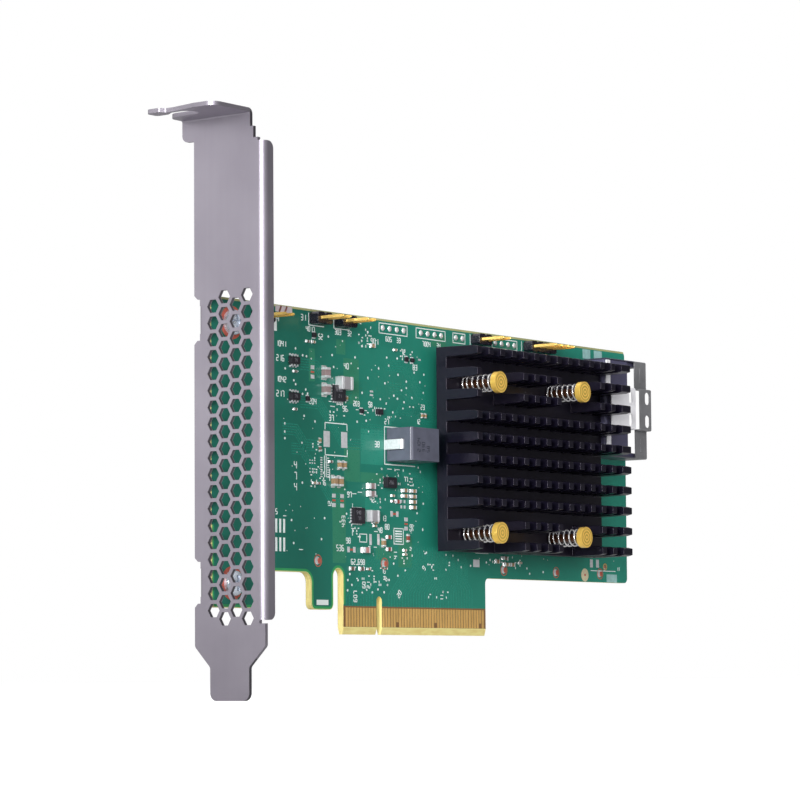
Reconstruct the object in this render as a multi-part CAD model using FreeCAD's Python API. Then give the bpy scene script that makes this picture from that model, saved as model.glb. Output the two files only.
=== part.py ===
import FreeCAD, Part
import math
import os
from FreeCAD import Vector

# RAID controller card: a low-profile storage controller on a full-height slot bracket.
# Frame, in millimetres: the origin is on the lower edge of the edge connector, at the
# centre of the key notch and at half the board's thickness. +X runs from the bracket
# to the cable end, +Z up from the edge connector, and the component side faces -Y.

# ---- board ----
board_thickness = 1.57
board_height = 68.9
board_rear_x = 98.45
board_lower_edge_z = 13.0
board_corner_r = 1.2
bracket_clearance = 0.1
leg_bottom_z = 5.2
leg_length = 16.5
hook_left_x = -23.5
hook_bottom_z = 5.2
hook_corner_r = 1.3
hook_inner_r = 2.2
relief_slot_width = 3.5
relief_slot_top_z = 14.0
finger_margin = 1.1
finger_inner_r = 1.2
key_width = 1.9
key_height = 8.25
bevel_height = 1.5
bevel_depth = 0.4

# ---- edge contacts ----
pad_pitch = 1.0
pad_width = 0.7
pad_metal = 0.05
pad_bottom_z = 1.65
pad_top_z = 5.75
short_pad_bottom_z = 2.75
pads_before_key = 11
pads_after_key = 38
pad_key_offset = 1.5
short_pads = (17, 31, 48)

# ---- slot bracket ----
bracket_outer_x = -57.2
sheet = 0.86
bracket_height = 120.02
bracket_foot_z = -13.75
bracket_near_y = -15.75
bracket_width = 18.42
tongue_width = 10.19
tongue_top_z = -7.0
taper_top_z = -2.8
tongue_offset = 4.21
tongue_r = 1.6
bend_inner_r = 0.64
ear_height = 5.37
ear_overhang = 3.15
ear_r = 1.4
tab_length = 11.43
tab_near_y = -12.25
tab_bend_r = 0.4
screw_slot_width = 4.42
screw_slot_offset = 7.0
screw_slot_root_y = -3.4
prong_r = 1.0
shoulder_setback = 0.85
shoulder_height = 1.6
flange_depth = 3.2
flange_bottom_z = 2.4
flange_end_gap = 1.5
flange_r = 1.5
relief_gap = 0.7
lug_width = 5.7
lug_end_margin = 0.4
lug_notch = 1.4
lug_notch_depth = 1.5
lug_edge_chamfer = 0.8
lug_bend_r = 0.3

# ---- honeycomb vent ----
hex_pitch = 3.441
hex_flats = 2.7
vent_top_z = 68.15
vent_inset = 4.5
vent_columns = 4
vent_long_rows = 20

# ---- bracket screws ----
screw_d = 2.9
screw_head_d = 5.2
screw_head_h = 1.9
screw_head_edge = 0.6
screw_inset_x = 6.44
screw_top_inset = 5.05
screw_bottom_inset = 5.0
screw_end = 0.5
screw_hole_clearance = 0.2
lug_thread_clearance = 0.04

# ---- controller package and thermal pad ----
chip_size = 27.0
substrate_height = 1.1
lid_size = 24.0
lid_height = 0.85
lid_rim = 0.8
thermal_pad_height = 0.22
thermal_pad_margin = 1.5

# ---- heat sink ----
sink_left_x = 18.57
sink_length = 61.66
sink_bottom_z = 18.5
sink_width = 45.3
sink_base = 2.8
fin_height = 8.52
fin_rows = 10
fin_root = 2.3
fin_neck = 2.05
fin_tip = 1.5
fin_tip_height = 1.2
pin_pitch = 4.46
pin_width = 1.75
pin_count = 14
pocket_first_pins = (1, 8)
pocket_pins = 3
pocket_rows = (0, 7)
pocket_row_count = 2

# ---- spring-loaded push pins ----
push_pin_x = (25.8, 59.2)
push_pin_z = (22.4, 55.8)
push_head_d = 4.75
push_head_h = 1.35
push_shaft_d = 2.0
push_hole_clearance = 0.3
push_head_above_fins = 1.2
barb_d = 3.3
barb_gap = 0.2
barb_rise = 0.15
barb_length = 2.2
barb_tip_d = 1.4
barb_slot = 0.6
spring_wire = 0.42
spring_outer_d = 4.1
spring_turns = 6.5
spring_dead_turns = 0.8
spring_dead_gap = 0.04
spring_steps = 8
spring_wire_sides = 5
spring_end_gap = 0.03

# ---- cable connector ----
socket_edge_gap = 0.35
socket_length = 17.1
socket_width = 23.4
socket_centre_z = 54.7
socket_body_length = 9.4
socket_height = 6.2
socket_chamfer = 0.5
tongue_length = 2.8
tongue_thickness = 1.2
tongue_height = 2.7
tongue_side_gap = 1.6
guide_thickness = 1.0
guide_setback = 0.9
shell_sheet = 0.3
shell_clearance = 0.05
shell_strap = 1.6
shell_bridge_overhang = 0.9
shell_front_length = 4.9
shell_bridge_width = 10.0
shell_bridge_rise = 1.4
shell_window_pitch = 5.5
shell_window_height = 3.0
rear_window_setback = 2.2
rear_window_width = 1.4
front_window_setback = 1.7
front_window_width = 2.0
rib_length = 3.4
rib_width = 0.9
rib_height = 0.15
rib_inset = 3.4
contact_pitch = 0.8
contact_count = 18
contact_width = 0.36
contact_metal = 0.12
contact_setback = 0.4

# ---- power inductor ----
choke_x = 2.95
choke_length = 10.4
choke_z = 37.1
choke_width = 7.3
choke_height = 7.0
choke_chamfer = 0.45
strap_width = 2.2
strap_thickness = 0.5
strap_height = 4.7
strap_clearance = 0.06
strap_foot = 1.6
strap_bend_r = 0.55

# ---- pin headers ----
header_edge_inset = 1.9
header_drop = 1.2
header_pitch = 2.54
header_base = 2.5
header_chamfer = 0.45
header_pin = 0.64
header_pin_rise = 6.0
header_pin_tail = 1.2
header_pin_point = 0.45
header_hole_clearance = 0.06

# ---- small packages ----
lead_thickness = 0.15
package_draft = 0.12

# ---- flat sides that stand for the round of the repeated shafts and their holes ----
bar_sides = 12

# ---- places that follow from the sizes ----
half_board = board_thickness / 2.0
face_y = -half_board
rear_y = half_board
board_left_x = bracket_outer_x + sheet + lug_bend_r + bracket_clearance
finger_left_x = -pad_key_offset - (pads_before_key - 1) * pad_pitch - finger_margin
finger_right_x = pad_key_offset + (pads_after_key - 1) * pad_pitch + finger_margin
bracket_far_y = bracket_near_y + bracket_width
bracket_top_z = bracket_foot_z + bracket_height
ear_bottom_z = bracket_top_z - ear_height
shoulder_y = tab_near_y - shoulder_setback
shoulder_z = ear_bottom_z + shoulder_height
flange_top_z = ear_bottom_z - flange_end_gap
bend_outer_r = bend_inner_r + sheet
screw_x = board_left_x + screw_inset_x
screw_upper_z = board_height - screw_top_inset
screw_lower_z = leg_bottom_z + screw_bottom_inset
sink_back_y = face_y - substrate_height - lid_height - thermal_pad_height
sink_face_y = sink_back_y - sink_base
fin_tip_y = sink_face_y - fin_height
sink_right_x = sink_left_x + sink_length
sink_top_z = sink_bottom_z + sink_width
fin_pitch = (sink_width - fin_root) / (fin_rows - 1)
push_hole_d = push_shaft_d + 2.0 * push_hole_clearance
screw_hole_d = screw_d + 2.0 * screw_hole_clearance
header_z = board_height - header_edge_inset
header_hole_d = header_pin * math.sqrt(2.0) + 2.0 * header_hole_clearance
shell_front_x = board_rear_x - socket_edge_gap
socket_rear_x = shell_front_x - socket_length
socket_body_front_x = socket_rear_x + socket_body_length
tongue_front_x = socket_body_front_x + tongue_length
shell_opening_rear_x = socket_body_front_x + shell_bridge_overhang
shell_opening_front_x = shell_front_x - shell_front_length

os.makedirs("parts", exist_ok=True)


def save(name, shape):
    shape.exportStep("parts/" + name + ".step")
    print("%-26s %3d solids  volume %.2f" % (name, len(shape.Solids), shape.Volume))


def box(x0, x1, y0, y1, z0, z1):
    return Part.makeBox(x1 - x0, y1 - y0, z1 - z0, Vector(x0, y0, z0))


def cylinder_y(radius, x, z, y0, y1):
    return Part.makeCylinder(radius, y1 - y0, Vector(x, y0, z), Vector(0, 1, 0))


def outline(corners):
    # A closed wire through the corners, each given as (point, radius). A corner with a
    # radius is rounded by the arc that is tangent to both of its sides.
    ends = []
    edges = []
    count = len(corners)
    for i in range(count):
        point, radius = corners[i]
        before = corners[i - 1][0]
        after = corners[(i + 1) % count][0]
        if radius <= 0.0:
            ends.append((point, point))
            continue
        to_before = (before - point).normalize()
        to_after = (after - point).normalize()
        half_angle = to_before.getAngle(to_after) / 2.0
        reach = radius / math.tan(half_angle)
        start = point + to_before * reach
        end = point + to_after * reach
        middle_way = (to_before + to_after).normalize()
        centre = point + middle_way * (radius / math.sin(half_angle))
        middle = centre - middle_way * radius
        ends.append((start, end))
        edges.append((i, Part.Arc(start, middle, end).toShape()))
    arcs = dict(edges)
    wire_edges = []
    for i in range(count):
        if i in arcs:
            wire_edges.append(arcs[i])
        line_start = ends[i][1]
        line_end = ends[(i + 1) % count][0]
        if line_start.distanceToPoint(line_end) > 1e-6:
            wire_edges.append(Part.makeLine(line_start, line_end))
    return Part.Wire(wire_edges)


def plate_xz(corners, y0, y1):
    wire = outline([(Vector(x, y0, z), r) for x, z, r in corners])
    return Part.Face(wire).extrude(Vector(0, y1 - y0, 0))


def plate_yz(corners, x0, x1):
    wire = outline([(Vector(x0, y, z), r) for y, z, r in corners])
    return Part.Face(wire).extrude(Vector(x1 - x0, 0, 0))


def plate_xy(corners, z0, z1):
    wire = outline([(Vector(x, y, z0), r) for x, y, r in corners])
    return Part.Face(wire).extrude(Vector(0, 0, z1 - z0))


def one_solid(shape):
    clean = shape.removeSplitter()
    return clean.Solids[0] if len(clean.Solids) == 1 else clean


def polygon_y(radius, sides, x, z, y):
    # A regular polygon about the Y axis, its corners at the radius and a flat facing +X.
    points = []
    for k in range(sides):
        angle = 2.0 * math.pi * (k + 0.5) / sides
        points.append(Vector(x + radius * math.cos(angle), y, z + radius * math.sin(angle)))
    return points


def faceted_bar(rings, sides, x, z):
    # A bar along Y with flat sides, through rings given as (y, radius).
    loops = [polygon_y(radius, sides, x, z, y) for y, radius in rings]
    faces = [Part.Face(Part.makePolygon(loop + [loop[0]])) for loop in (loops[0], loops[-1])]
    for lower, upper in zip(loops, loops[1:]):
        for k in range(sides):
            n = (k + 1) % sides
            corners = [lower[k], lower[n], upper[n], upper[k], lower[k]]
            faces.append(Part.Face(Part.makePolygon(corners)))
    bar = Part.Solid(Part.Shell(faces))
    if bar.Volume < 0.0:
        bar.reverse()
    return bar


def faceted_hole(diameter, sides, x, z, y0, y1):
    # A hole with flat sides, whose flats touch the circle of the given diameter.
    radius = diameter / 2.0 / math.cos(math.pi / sides)
    return faceted_bar([(y0, radius), (y1, radius)], sides, x, z)


# Where each pin header stands: the first pin's X, its Z and how many pins it has.
headers = {
    "header_bracket": (-41.9, header_z - header_drop, 2),
    "header_fault": (-22.6, header_z, 2),
    "header_activity": (-14.0, header_z, 2),
    "header_service": (36.1, header_z, 2),
    "header_console": (56.9, header_z, 4),
}


def header_pin_places(name):
    first_x, z, count = headers[name]
    return [(first_x + i * header_pitch, z) for i in range(count)]


# ---- circuit board ----
def make_board():
    leg_right_x = board_left_x + leg_length
    slot_r = relief_slot_width / 2.0
    slot_left_x = finger_left_x - relief_slot_width
    key_r = key_width / 2.0
    corners = [
        (board_left_x, leg_bottom_z, board_corner_r),
        (leg_right_x, leg_bottom_z, hook_corner_r),
        (leg_right_x, board_lower_edge_z, hook_inner_r),
        (hook_left_x, board_lower_edge_z, hook_inner_r),
        (hook_left_x, hook_bottom_z, hook_corner_r),
        (slot_left_x, hook_bottom_z, hook_corner_r),
        (slot_left_x, relief_slot_top_z, slot_r),
        (finger_left_x, relief_slot_top_z, slot_r),
        (finger_left_x, 0.0, 0.0),
        (-key_r, 0.0, 0.0),
        (-key_r, key_height, key_r),
        (key_r, key_height, key_r),
        (key_r, 0.0, 0.0),
        (finger_right_x, 0.0, 0.0),
        (finger_right_x, board_lower_edge_z, finger_inner_r),
        (board_rear_x, board_lower_edge_z, board_corner_r),
        (board_rear_x, board_height, board_corner_r),
        (board_left_x, board_height, board_corner_r),
    ]
    board = plate_xz(corners, face_y, rear_y)
    # The lower edge of the edge connector is bevelled on both faces.
    for side in (-1.0, 1.0):
        bevel = plate_yz([
            (side * (half_board - bevel_depth), -0.5, 0.0),
            (side * (half_board - bevel_depth), 0.0, 0.0),
            (side * half_board, bevel_height, 0.0),
            (side * (half_board + 0.5), bevel_height, 0.0),
            (side * (half_board + 0.5), -0.5, 0.0),
        ], finger_left_x - 0.5, finger_right_x + 0.5)
        board = board.cut(bevel)
    holes = []
    for x in push_pin_x:
        for z in push_pin_z:
            holes.append(faceted_hole(push_hole_d, bar_sides, x, z, -5, 5))
    for z in (screw_upper_z, screw_lower_z):
        holes.append(faceted_hole(screw_hole_d, bar_sides, screw_x, z, -5, 5))
    for name in headers:
        for x, z in header_pin_places(name):
            holes.append(faceted_hole(header_hole_d, 8, x, z, -5, 5))
    return one_solid(board.cut(Part.makeCompound(holes)))


# ---- edge contacts: gilt pads on both faces, the presence pads shorter ----
def make_contacts():
    pads = []
    for number in range(1, pads_before_key + pads_after_key + 1):
        if number <= pads_before_key:
            x = -pad_key_offset - (pads_before_key - number) * pad_pitch
        else:
            x = pad_key_offset + (number - pads_before_key - 1) * pad_pitch
        low = short_pad_bottom_z if number in short_pads else pad_bottom_z
        left = x - pad_width / 2.0
        right = x + pad_width / 2.0
        pads.append(box(left, right, face_y - pad_metal, face_y, low, pad_top_z))
        pads.append(box(left, right, rear_y, rear_y + pad_metal, pad_bottom_z, pad_top_z))
    return Part.makeCompound(pads)


# ---- slot bracket: one folded sheet ----
def folded_angle(plane, corner_a, corner_b, inner_r, start, end, low, high):
    # A sheet bent through a right angle. The section lies in the given plane: the bend's
    # outer corner is (corner_a, corner_b), one leaf ends at start along the second axis
    # and the other leaf ends at end along the first axis.
    outer_r = inner_r + sheet
    side_a = 1.0 if end > corner_a else -1.0
    side_b = 1.0 if start > corner_b else -1.0
    corners = [
        (corner_a, start, 0.0),
        (corner_a, corner_b, outer_r),
        (end, corner_b, 0.0),
        (end, corner_b + side_b * sheet, 0.0),
        (corner_a + side_a * sheet, corner_b + side_b * sheet, inner_r),
        (corner_a + side_a * sheet, start, 0.0),
    ]
    if plane == "xy":
        return plate_xy(corners, low, high)
    return plate_xz(corners, low, high)


def make_bracket():
    outer = bracket_outer_x
    inner = bracket_outer_x + sheet
    near = bracket_near_y
    far = bracket_far_y
    tongue_near = near + tongue_offset
    tongue_far = tongue_near + tongue_width
    bend_line = near + bend_outer_r
    lug_outer_y = rear_y + sheet
    lug_bend_line = lug_outer_y - lug_bend_r - sheet
    face_top = ear_bottom_z + 0.4
    face = plate_yz([
        (tongue_near, bracket_foot_z, tongue_r),
        (tongue_far, bracket_foot_z, tongue_r),
        (tongue_far, tongue_top_z, 1.0),
        (far, taper_top_z, 1.0),
        (far, face_top, 0.0),
        (shoulder_y, face_top, 0.0),
        (shoulder_y, flange_top_z + relief_gap, 0.0),
        (bend_line, flange_top_z + relief_gap, 0.0),
        (bend_line, flange_bottom_z - relief_gap, 0.0),
        (near, flange_bottom_z - relief_gap, 0.0),
        (near, taper_top_z, 1.0),
        (tongue_near, tongue_top_z, 1.0),
    ], outer, inner)

    # The top of the face with its ear, folded outwards into the screw tab.
    tab_end = outer - tab_length
    ear_far = far + ear_overhang
    top = folded_angle("xz", inner, bracket_top_z, tab_bend_r, ear_bottom_z, tab_end,
                       tab_near_y, ear_far)
    ear_mask = plate_yz([
        (shoulder_y - 5.0, ear_bottom_z - 1.0, 0.0),
        (far, ear_bottom_z - 1.0, 0.0),
        (far, ear_bottom_z, 0.0),
        (ear_far, ear_bottom_z, ear_r),
        (ear_far, bracket_top_z + 1.0, 0.0),
        (shoulder_y - 5.0, bracket_top_z + 1.0, 0.0),
    ], tab_end - 1.0, inner + 1.0)
    top = top.common(ear_mask)
    tab_mask = plate_xy([
        (tab_end, tab_near_y, 2.2),
        (inner + 1.0, tab_near_y, 0.0),
        (inner + 1.0, ear_far, 0.0),
        (tab_end, ear_far, prong_r),
    ], ear_bottom_z - 1.0, bracket_top_z + 1.0)
    top = top.common(tab_mask)
    slot_x = outer - screw_slot_offset
    slot_r = screw_slot_width / 2.0
    slot = plate_xy([
        (slot_x - slot_r, screw_slot_root_y, slot_r),
        (slot_x + slot_r, screw_slot_root_y, slot_r),
        (slot_x + slot_r, ear_far + 1.0, 0.0),
        (slot_x - slot_r, ear_far + 1.0, 0.0),
    ], bracket_top_z - 2.0 * sheet, bracket_top_z + 1.0)
    top = top.cut(slot)
    shoulder = box(outer, inner, shoulder_y, tab_near_y + 1.0, ear_bottom_z, shoulder_z)

    # The stiffening flange along the component side.
    flange = folded_angle("xy", outer, near, bend_inner_r, bend_line + 0.5,
                          outer + flange_depth, flange_bottom_z, flange_top_z)
    flange_mask = plate_xz([
        (outer - 1.0, flange_bottom_z, 0.0),
        (outer + flange_depth, flange_bottom_z, flange_r),
        (outer + flange_depth, flange_top_z, flange_r),
        (outer - 1.0, flange_top_z, 0.0),
    ], near - 1.0, bend_line + 1.0)
    flange = flange.common(flange_mask)
    bracket = face.fuse([top, shoulder, flange])

    # Two lugs folded behind the board, each between a pair of notches.
    for z in (screw_upper_z, screw_lower_z):
        half = lug_width / 2.0
        gap = plate_yz([
            (lug_bend_line, z - half, 0.0),
            (far + 1.0, z - half, 0.0),
            (far + 1.0, z + half, 0.0),
            (lug_bend_line, z + half, 0.0),
        ], outer - 1.0, inner + 1.0)
        bracket = bracket.cut(gap)
        for side in (-1.0, 1.0):
            edge = z + side * half
            end = edge + side * lug_notch
            notch = plate_yz([
                (far - lug_notch_depth, edge, 0.0),
                (far - lug_notch_depth, end, 0.0),
                (far - lug_edge_chamfer, end, 0.0),
                (far, end + side * lug_edge_chamfer, 0.0),
                (far + 1.0, end + side * lug_edge_chamfer, 0.0),
                (far + 1.0, edge, 0.0),
            ], outer - 1.0, inner + 1.0)
            bracket = bracket.cut(notch)
        lug_end = screw_x + lug_width / 2.0 + lug_end_margin
        lug = folded_angle("xy", outer, lug_outer_y, lug_bend_r, lug_bend_line - 0.3,
                           lug_end, z - half, z + half)
        lug_mask = plate_xz([
            (outer - 1.0, z - half, 0.0),
            (lug_end, z - half, half * 0.98),
            (lug_end, z + half, half * 0.98),
            (outer - 1.0, z + half, 0.0),
        ], -5.0, far + 1.0)
        lug = lug.common(lug_mask)
        bore = faceted_hole(screw_d + 2.0 * lug_thread_clearance, bar_sides, screw_x, z,
                            -1.0, far + 1.0)
        bracket = bracket.fuse(lug).cut(bore)

    # Honeycomb vent: hexagons in four staggered columns.
    circum = hex_flats / math.sqrt(3.0)
    column_step = hex_pitch * math.sqrt(3.0) / 2.0
    cells = []
    for column in range(vent_columns):
        staggered = column % 2 == 1
        rows = vent_long_rows - 1 if staggered else vent_long_rows
        first_z = vent_top_z - (hex_pitch / 2.0 if staggered else 0.0)
        y = near + vent_inset + column * column_step
        for row in range(rows):
            z = first_z - row * hex_pitch
            points = []
            for k in range(6):
                angle = math.radians(60.0 * k)
                points.append(Vector(outer - 0.5, y + circum * math.cos(angle),
                                     z + circum * math.sin(angle)))
            wire = Part.makePolygon(points + [points[0]])
            cells.append(Part.Face(wire).extrude(Vector(sheet + 1.0, 0, 0)))
    return one_solid(bracket.cut(Part.makeCompound(cells)))


# ---- screws that hold the lugs, driven from the component side ----
def make_screw(z):
    radius = screw_d / 2.0
    head_r = screw_head_d / 2.0
    end_y = rear_y + sheet + screw_end
    top_y = face_y - screw_head_h
    section = outline([
        (Vector(0, top_y, 0), 0.0),
        (Vector(head_r - screw_head_edge, top_y, 0), 0.0),
        (Vector(head_r, top_y + screw_head_edge, 0), 0.0),
        (Vector(head_r, face_y, 0), 0.0),
        (Vector(0, face_y, 0), 0.0),
    ])
    head = Part.Face(section).revolve(Vector(0, 0, 0), Vector(0, 1, 0), 360.0)
    head.translate(Vector(screw_x, 0, z))
    shaft = faceted_bar([(face_y - screw_head_h / 2.0, radius), (end_y, radius)],
                        bar_sides, screw_x, z)
    return one_solid(head.fuse(shaft))


# ---- heat sink: base plate with rows of cross-cut fins ----
def make_heat_sink():
    base = box(sink_left_x, sink_right_x, sink_face_y, sink_back_y, sink_bottom_z, sink_top_z)
    neck_y = fin_tip_y + fin_tip_height
    rows = []
    for row in range(fin_rows):
        z = sink_bottom_z + fin_root / 2.0 + row * fin_pitch
        fin = plate_yz([
            (sink_face_y + 0.2, z - fin_root / 2.0, 0.0),
            (sink_face_y, z - fin_root / 2.0, 0.0),
            (neck_y, z - fin_neck / 2.0, 0.0),
            (fin_tip_y, z - fin_tip / 2.0, 0.0),
            (fin_tip_y, z + fin_tip / 2.0, 0.0),
            (neck_y, z + fin_neck / 2.0, 0.0),
            (sink_face_y, z + fin_root / 2.0, 0.0),
            (sink_face_y + 0.2, z + fin_root / 2.0, 0.0),
        ], sink_left_x, sink_right_x)
        rows.append(fin)
    sink = base.fuse(rows)
    cuts = []
    for pin in range(pin_count - 1):
        left = sink_left_x + pin * pin_pitch + pin_width
        right = sink_left_x + (pin + 1) * pin_pitch
        cuts.append(box(left, right, fin_tip_y - 1.0, sink_face_y, sink_bottom_z - 1.0,
                        sink_top_z + 1.0))
    for pin in pocket_first_pins:
        left = sink_left_x + (pin - 1) * pin_pitch + pin_width
        right = sink_left_x + (pin + pocket_pins) * pin_pitch
        for row in pocket_rows:
            low = row_bottom(row) - 0.3
            high = row_bottom(row + pocket_row_count - 1) + fin_root + 0.3
            cuts.append(box(left, right, fin_tip_y - 1.0, sink_face_y, low, high))
    for x in push_pin_x:
        for z in push_pin_z:
            cuts.append(faceted_hole(push_hole_d, bar_sides, x, z, sink_face_y - 1.0,
                                     sink_back_y + 1.0))
    return one_solid(sink.cut(cuts))


def row_bottom(row):
    return sink_bottom_z + row * fin_pitch


# ---- controller package under the heat sink ----
def chip_centre():
    x = (push_pin_x[0] + push_pin_x[1]) / 2.0
    z = (push_pin_z[0] + push_pin_z[1]) / 2.0
    return x, z


def make_substrate():
    x, z = chip_centre()
    half = chip_size / 2.0
    return box(x - half, x + half, face_y - substrate_height, face_y, z - half, z + half)


def make_lid():
    # A stamped lid: a low rim all round and a raised middle.
    x, z = chip_centre()
    half = lid_size / 2.0
    inner = half - lid_rim
    low_y = face_y - substrate_height
    top_y = low_y - lid_height
    rim = box(x - half, x + half, low_y - lid_height / 2.0, low_y, z - half, z + half)
    raised = box(x - inner, x + inner, top_y, low_y, z - inner, z + inner)
    return one_solid(rim.fuse(raised))


def make_thermal_pad():
    x, z = chip_centre()
    half = lid_size / 2.0 - thermal_pad_margin
    return box(x - half, x + half, sink_back_y, sink_back_y + thermal_pad_height,
               z - half, z + half)


# ---- push pins: a turned head and shaft with a split barb behind the board ----
push_head_under_y = fin_tip_y - push_head_above_fins + push_head_h


def make_push_pin(x, z):
    shaft_r = push_shaft_d / 2.0
    top_y = push_head_under_y - push_head_h
    barb_y = rear_y + barb_gap
    tip_y = barb_y + barb_length
    head = cylinder_y(push_head_d / 2.0, x, z, top_y, push_head_under_y)
    shaft = faceted_bar([
        (push_head_under_y - push_head_h / 2.0, shaft_r),
        (barb_y, shaft_r),
        (barb_y + barb_rise, barb_d / 2.0),
        (tip_y, barb_tip_d / 2.0),
    ], bar_sides, x, z)
    split = box(x - barb_slot / 2.0, x + barb_slot / 2.0, face_y, tip_y + 1.0,
                z - barb_d, z + barb_d)
    return one_solid(head.fuse(shaft.cut(split)))


def make_spring(x, z):
    # The coil is lofted through sections of the wire, set square to the helix. The pitch
    # opens after one dead turn and closes again before the last one.
    wire_r = spring_wire / 2.0
    coil_r = spring_outer_d / 2.0 - wire_r
    room = sink_face_y - push_head_under_y - 2.0 * spring_end_gap
    rise = room - 2.0 * wire_r
    dead_pitch = spring_wire + spring_dead_gap
    open_turns = spring_turns - 2.0 * spring_dead_turns
    open_pitch = (rise - 2.0 * spring_dead_turns * dead_pitch) / open_turns
    sections = []
    steps = int(round(spring_turns * spring_steps))
    for i in range(steps + 1):
        turn = spring_turns * i / steps
        opened = min(max(turn - spring_dead_turns, 0.0), open_turns)
        height = (turn - opened) * dead_pitch + opened * open_pitch
        angle = 2.0 * math.pi * turn
        radial = Vector(math.cos(angle), 0, math.sin(angle))
        axial = Vector(0, -1, 0)
        centre = radial * coil_r + Vector(0, sink_face_y - spring_end_gap - wire_r - height, 0)
        ring = []
        for k in range(spring_wire_sides):
            around = 2.0 * math.pi * k / spring_wire_sides
            ring.append(centre + radial * (wire_r * math.cos(around))
                        + axial * (wire_r * math.sin(around)))
        sections.append(Part.makePolygon(ring + [ring[0]]))
    spring = Part.makeLoft(sections, True, True)
    spring.translate(Vector(x, 0, z))
    return spring


# ---- cable connector: moulded body, folded shell and two rows of contacts ----
socket_low_z = socket_centre_z - socket_width / 2.0
socket_high_z = socket_centre_z + socket_width / 2.0
socket_top_y = face_y - socket_height
socket_tongue_top_y = face_y - tongue_height - tongue_thickness
socket_tongue_low_y = face_y - tongue_height


def make_socket_body():
    low = socket_low_z + shell_sheet + shell_clearance
    high = socket_high_z - shell_sheet - shell_clearance
    body = box(socket_rear_x, socket_body_front_x, socket_top_y, face_y, low, high)
    guides = []
    for z in (low, high - guide_thickness):
        guides.append(plate_xy([
            (socket_body_front_x - 0.5, face_y, 0.0),
            (shell_front_x - guide_setback, face_y, 0.0),
            (shell_front_x - guide_setback, socket_top_y + 1.0, 0.0),
            (socket_body_front_x - 0.5, socket_top_y + 0.5, 0.0),
        ], z, z + guide_thickness))
    tongue = plate_xz([
        (socket_body_front_x - 0.5, low + tongue_side_gap, 0.0),
        (tongue_front_x, low + tongue_side_gap, 0.0),
        (tongue_front_x, high - tongue_side_gap, 0.0),
        (socket_body_front_x - 0.5, high - tongue_side_gap, 0.0),
    ], socket_tongue_top_y, socket_tongue_low_y)
    body = body.fuse(guides + [tongue])
    # A chamfer runs round the top of the rear edge.
    nose = plate_xy([
        (socket_rear_x - 1.0, socket_top_y - 1.0, 0.0),
        (socket_rear_x + socket_chamfer, socket_top_y - 1.0, 0.0),
        (socket_rear_x + socket_chamfer, socket_top_y, 0.0),
        (socket_rear_x, socket_top_y + socket_chamfer, 0.0),
        (socket_rear_x - 1.0, socket_top_y + socket_chamfer, 0.0),
    ], low - 1.0, high + 1.0)
    return one_solid(body.cut(nose))


def contact_places():
    first = socket_centre_z - (contact_count - 1) * contact_pitch / 2.0
    return [first + i * contact_pitch for i in range(contact_count)]


def make_socket_contacts():
    end = tongue_front_x - contact_setback
    above = socket_tongue_top_y - contact_metal
    below = socket_tongue_low_y
    blades = []
    for z in contact_places():
        low = z - contact_width / 2.0
        high = z + contact_width / 2.0
        for y in (above, below):
            blades.append(box(socket_body_front_x, end, y, y + contact_metal, low, high))
    return Part.makeCompound(blades)


def make_socket_shell():
    wall = shell_sheet
    top = socket_top_y - 0.02
    crown = top - shell_bridge_rise
    low = socket_low_z
    high = socket_high_z
    near = socket_centre_z - shell_bridge_width / 2.0
    away = socket_centre_z + shell_bridge_width / 2.0
    # The folded section, drawn once across the card and drawn out along X.
    shell = plate_yz([
        (face_y, low, 0.0),
        (top - wall, low, 0.4),
        (top - wall, near, 0.0),
        (crown - wall, near, 0.4),
        (crown - wall, away, 0.4),
        (top - wall, away, 0.0),
        (top - wall, high, 0.4),
        (face_y, high, 0.0),
        (face_y, high - wall, 0.0),
        (top, high - wall, 0.0),
        (top, away - wall, 0.0),
        (crown, away - wall, 0.0),
        (crown, near + wall, 0.0),
        (top, near + wall, 0.0),
        (top, low + wall, 0.0),
        (face_y, low + wall, 0.0),
    ], socket_rear_x, shell_front_x)
    cuts = [
        box(shell_opening_rear_x, shell_opening_front_x, crown - 1.0, top + 0.6,
            low + wall, high - wall),
        box(socket_rear_x + shell_strap, shell_opening_front_x, top - wall - 0.1, top + 0.6,
            low + wall, near - 0.05),
        box(socket_rear_x + shell_strap, shell_opening_front_x, top - wall - 0.1, top + 0.6,
            away + 0.05, high - wall),
    ]
    for side in (-0.5, 0.5):
        z = socket_centre_z + side * shell_window_pitch
        half = shell_window_height / 2.0
        x = shell_front_x - front_window_setback
        r = front_window_width / 2.0
        cuts.append(plate_xz([
            (x - r, z - half, r * 0.9), (x + r, z - half, r * 0.9),
            (x + r, z + half, r * 0.9), (x - r, z + half, r * 0.9),
        ], crown - 1.0, crown + 0.5))
        x = shell_opening_rear_x - rear_window_setback
        r = rear_window_width / 2.0
        c = r * 0.6
        cuts.append(plate_xz([
            (x - r, z - half + c, 0.0), (x - r + c, z - half, 0.0),
            (x + r - c, z - half, 0.0), (x + r, z - half + c, 0.0),
            (x + r, z + half - c, 0.0), (x + r - c, z + half, 0.0),
            (x - r + c, z + half, 0.0), (x - r, z + half - c, 0.0),
        ], crown - 1.0, crown + 0.5))
    shell = shell.cut(Part.makeCompound(cuts))
    ribs = []
    for z in (socket_low_z + rib_inset, socket_high_z - rib_inset):
        x = (shell_opening_front_x + shell_front_x) / 2.0
        ribs.append(box(x - rib_width / 2.0, x + rib_width / 2.0, top - wall - rib_height,
                        top - wall + 0.1, z - rib_length / 2.0, z + rib_length / 2.0))
    return one_solid(shell.fuse(ribs))


# ---- power inductor: a ferrite block with a copper strap through it ----
choke_mid_z = choke_z + choke_width / 2.0


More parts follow.
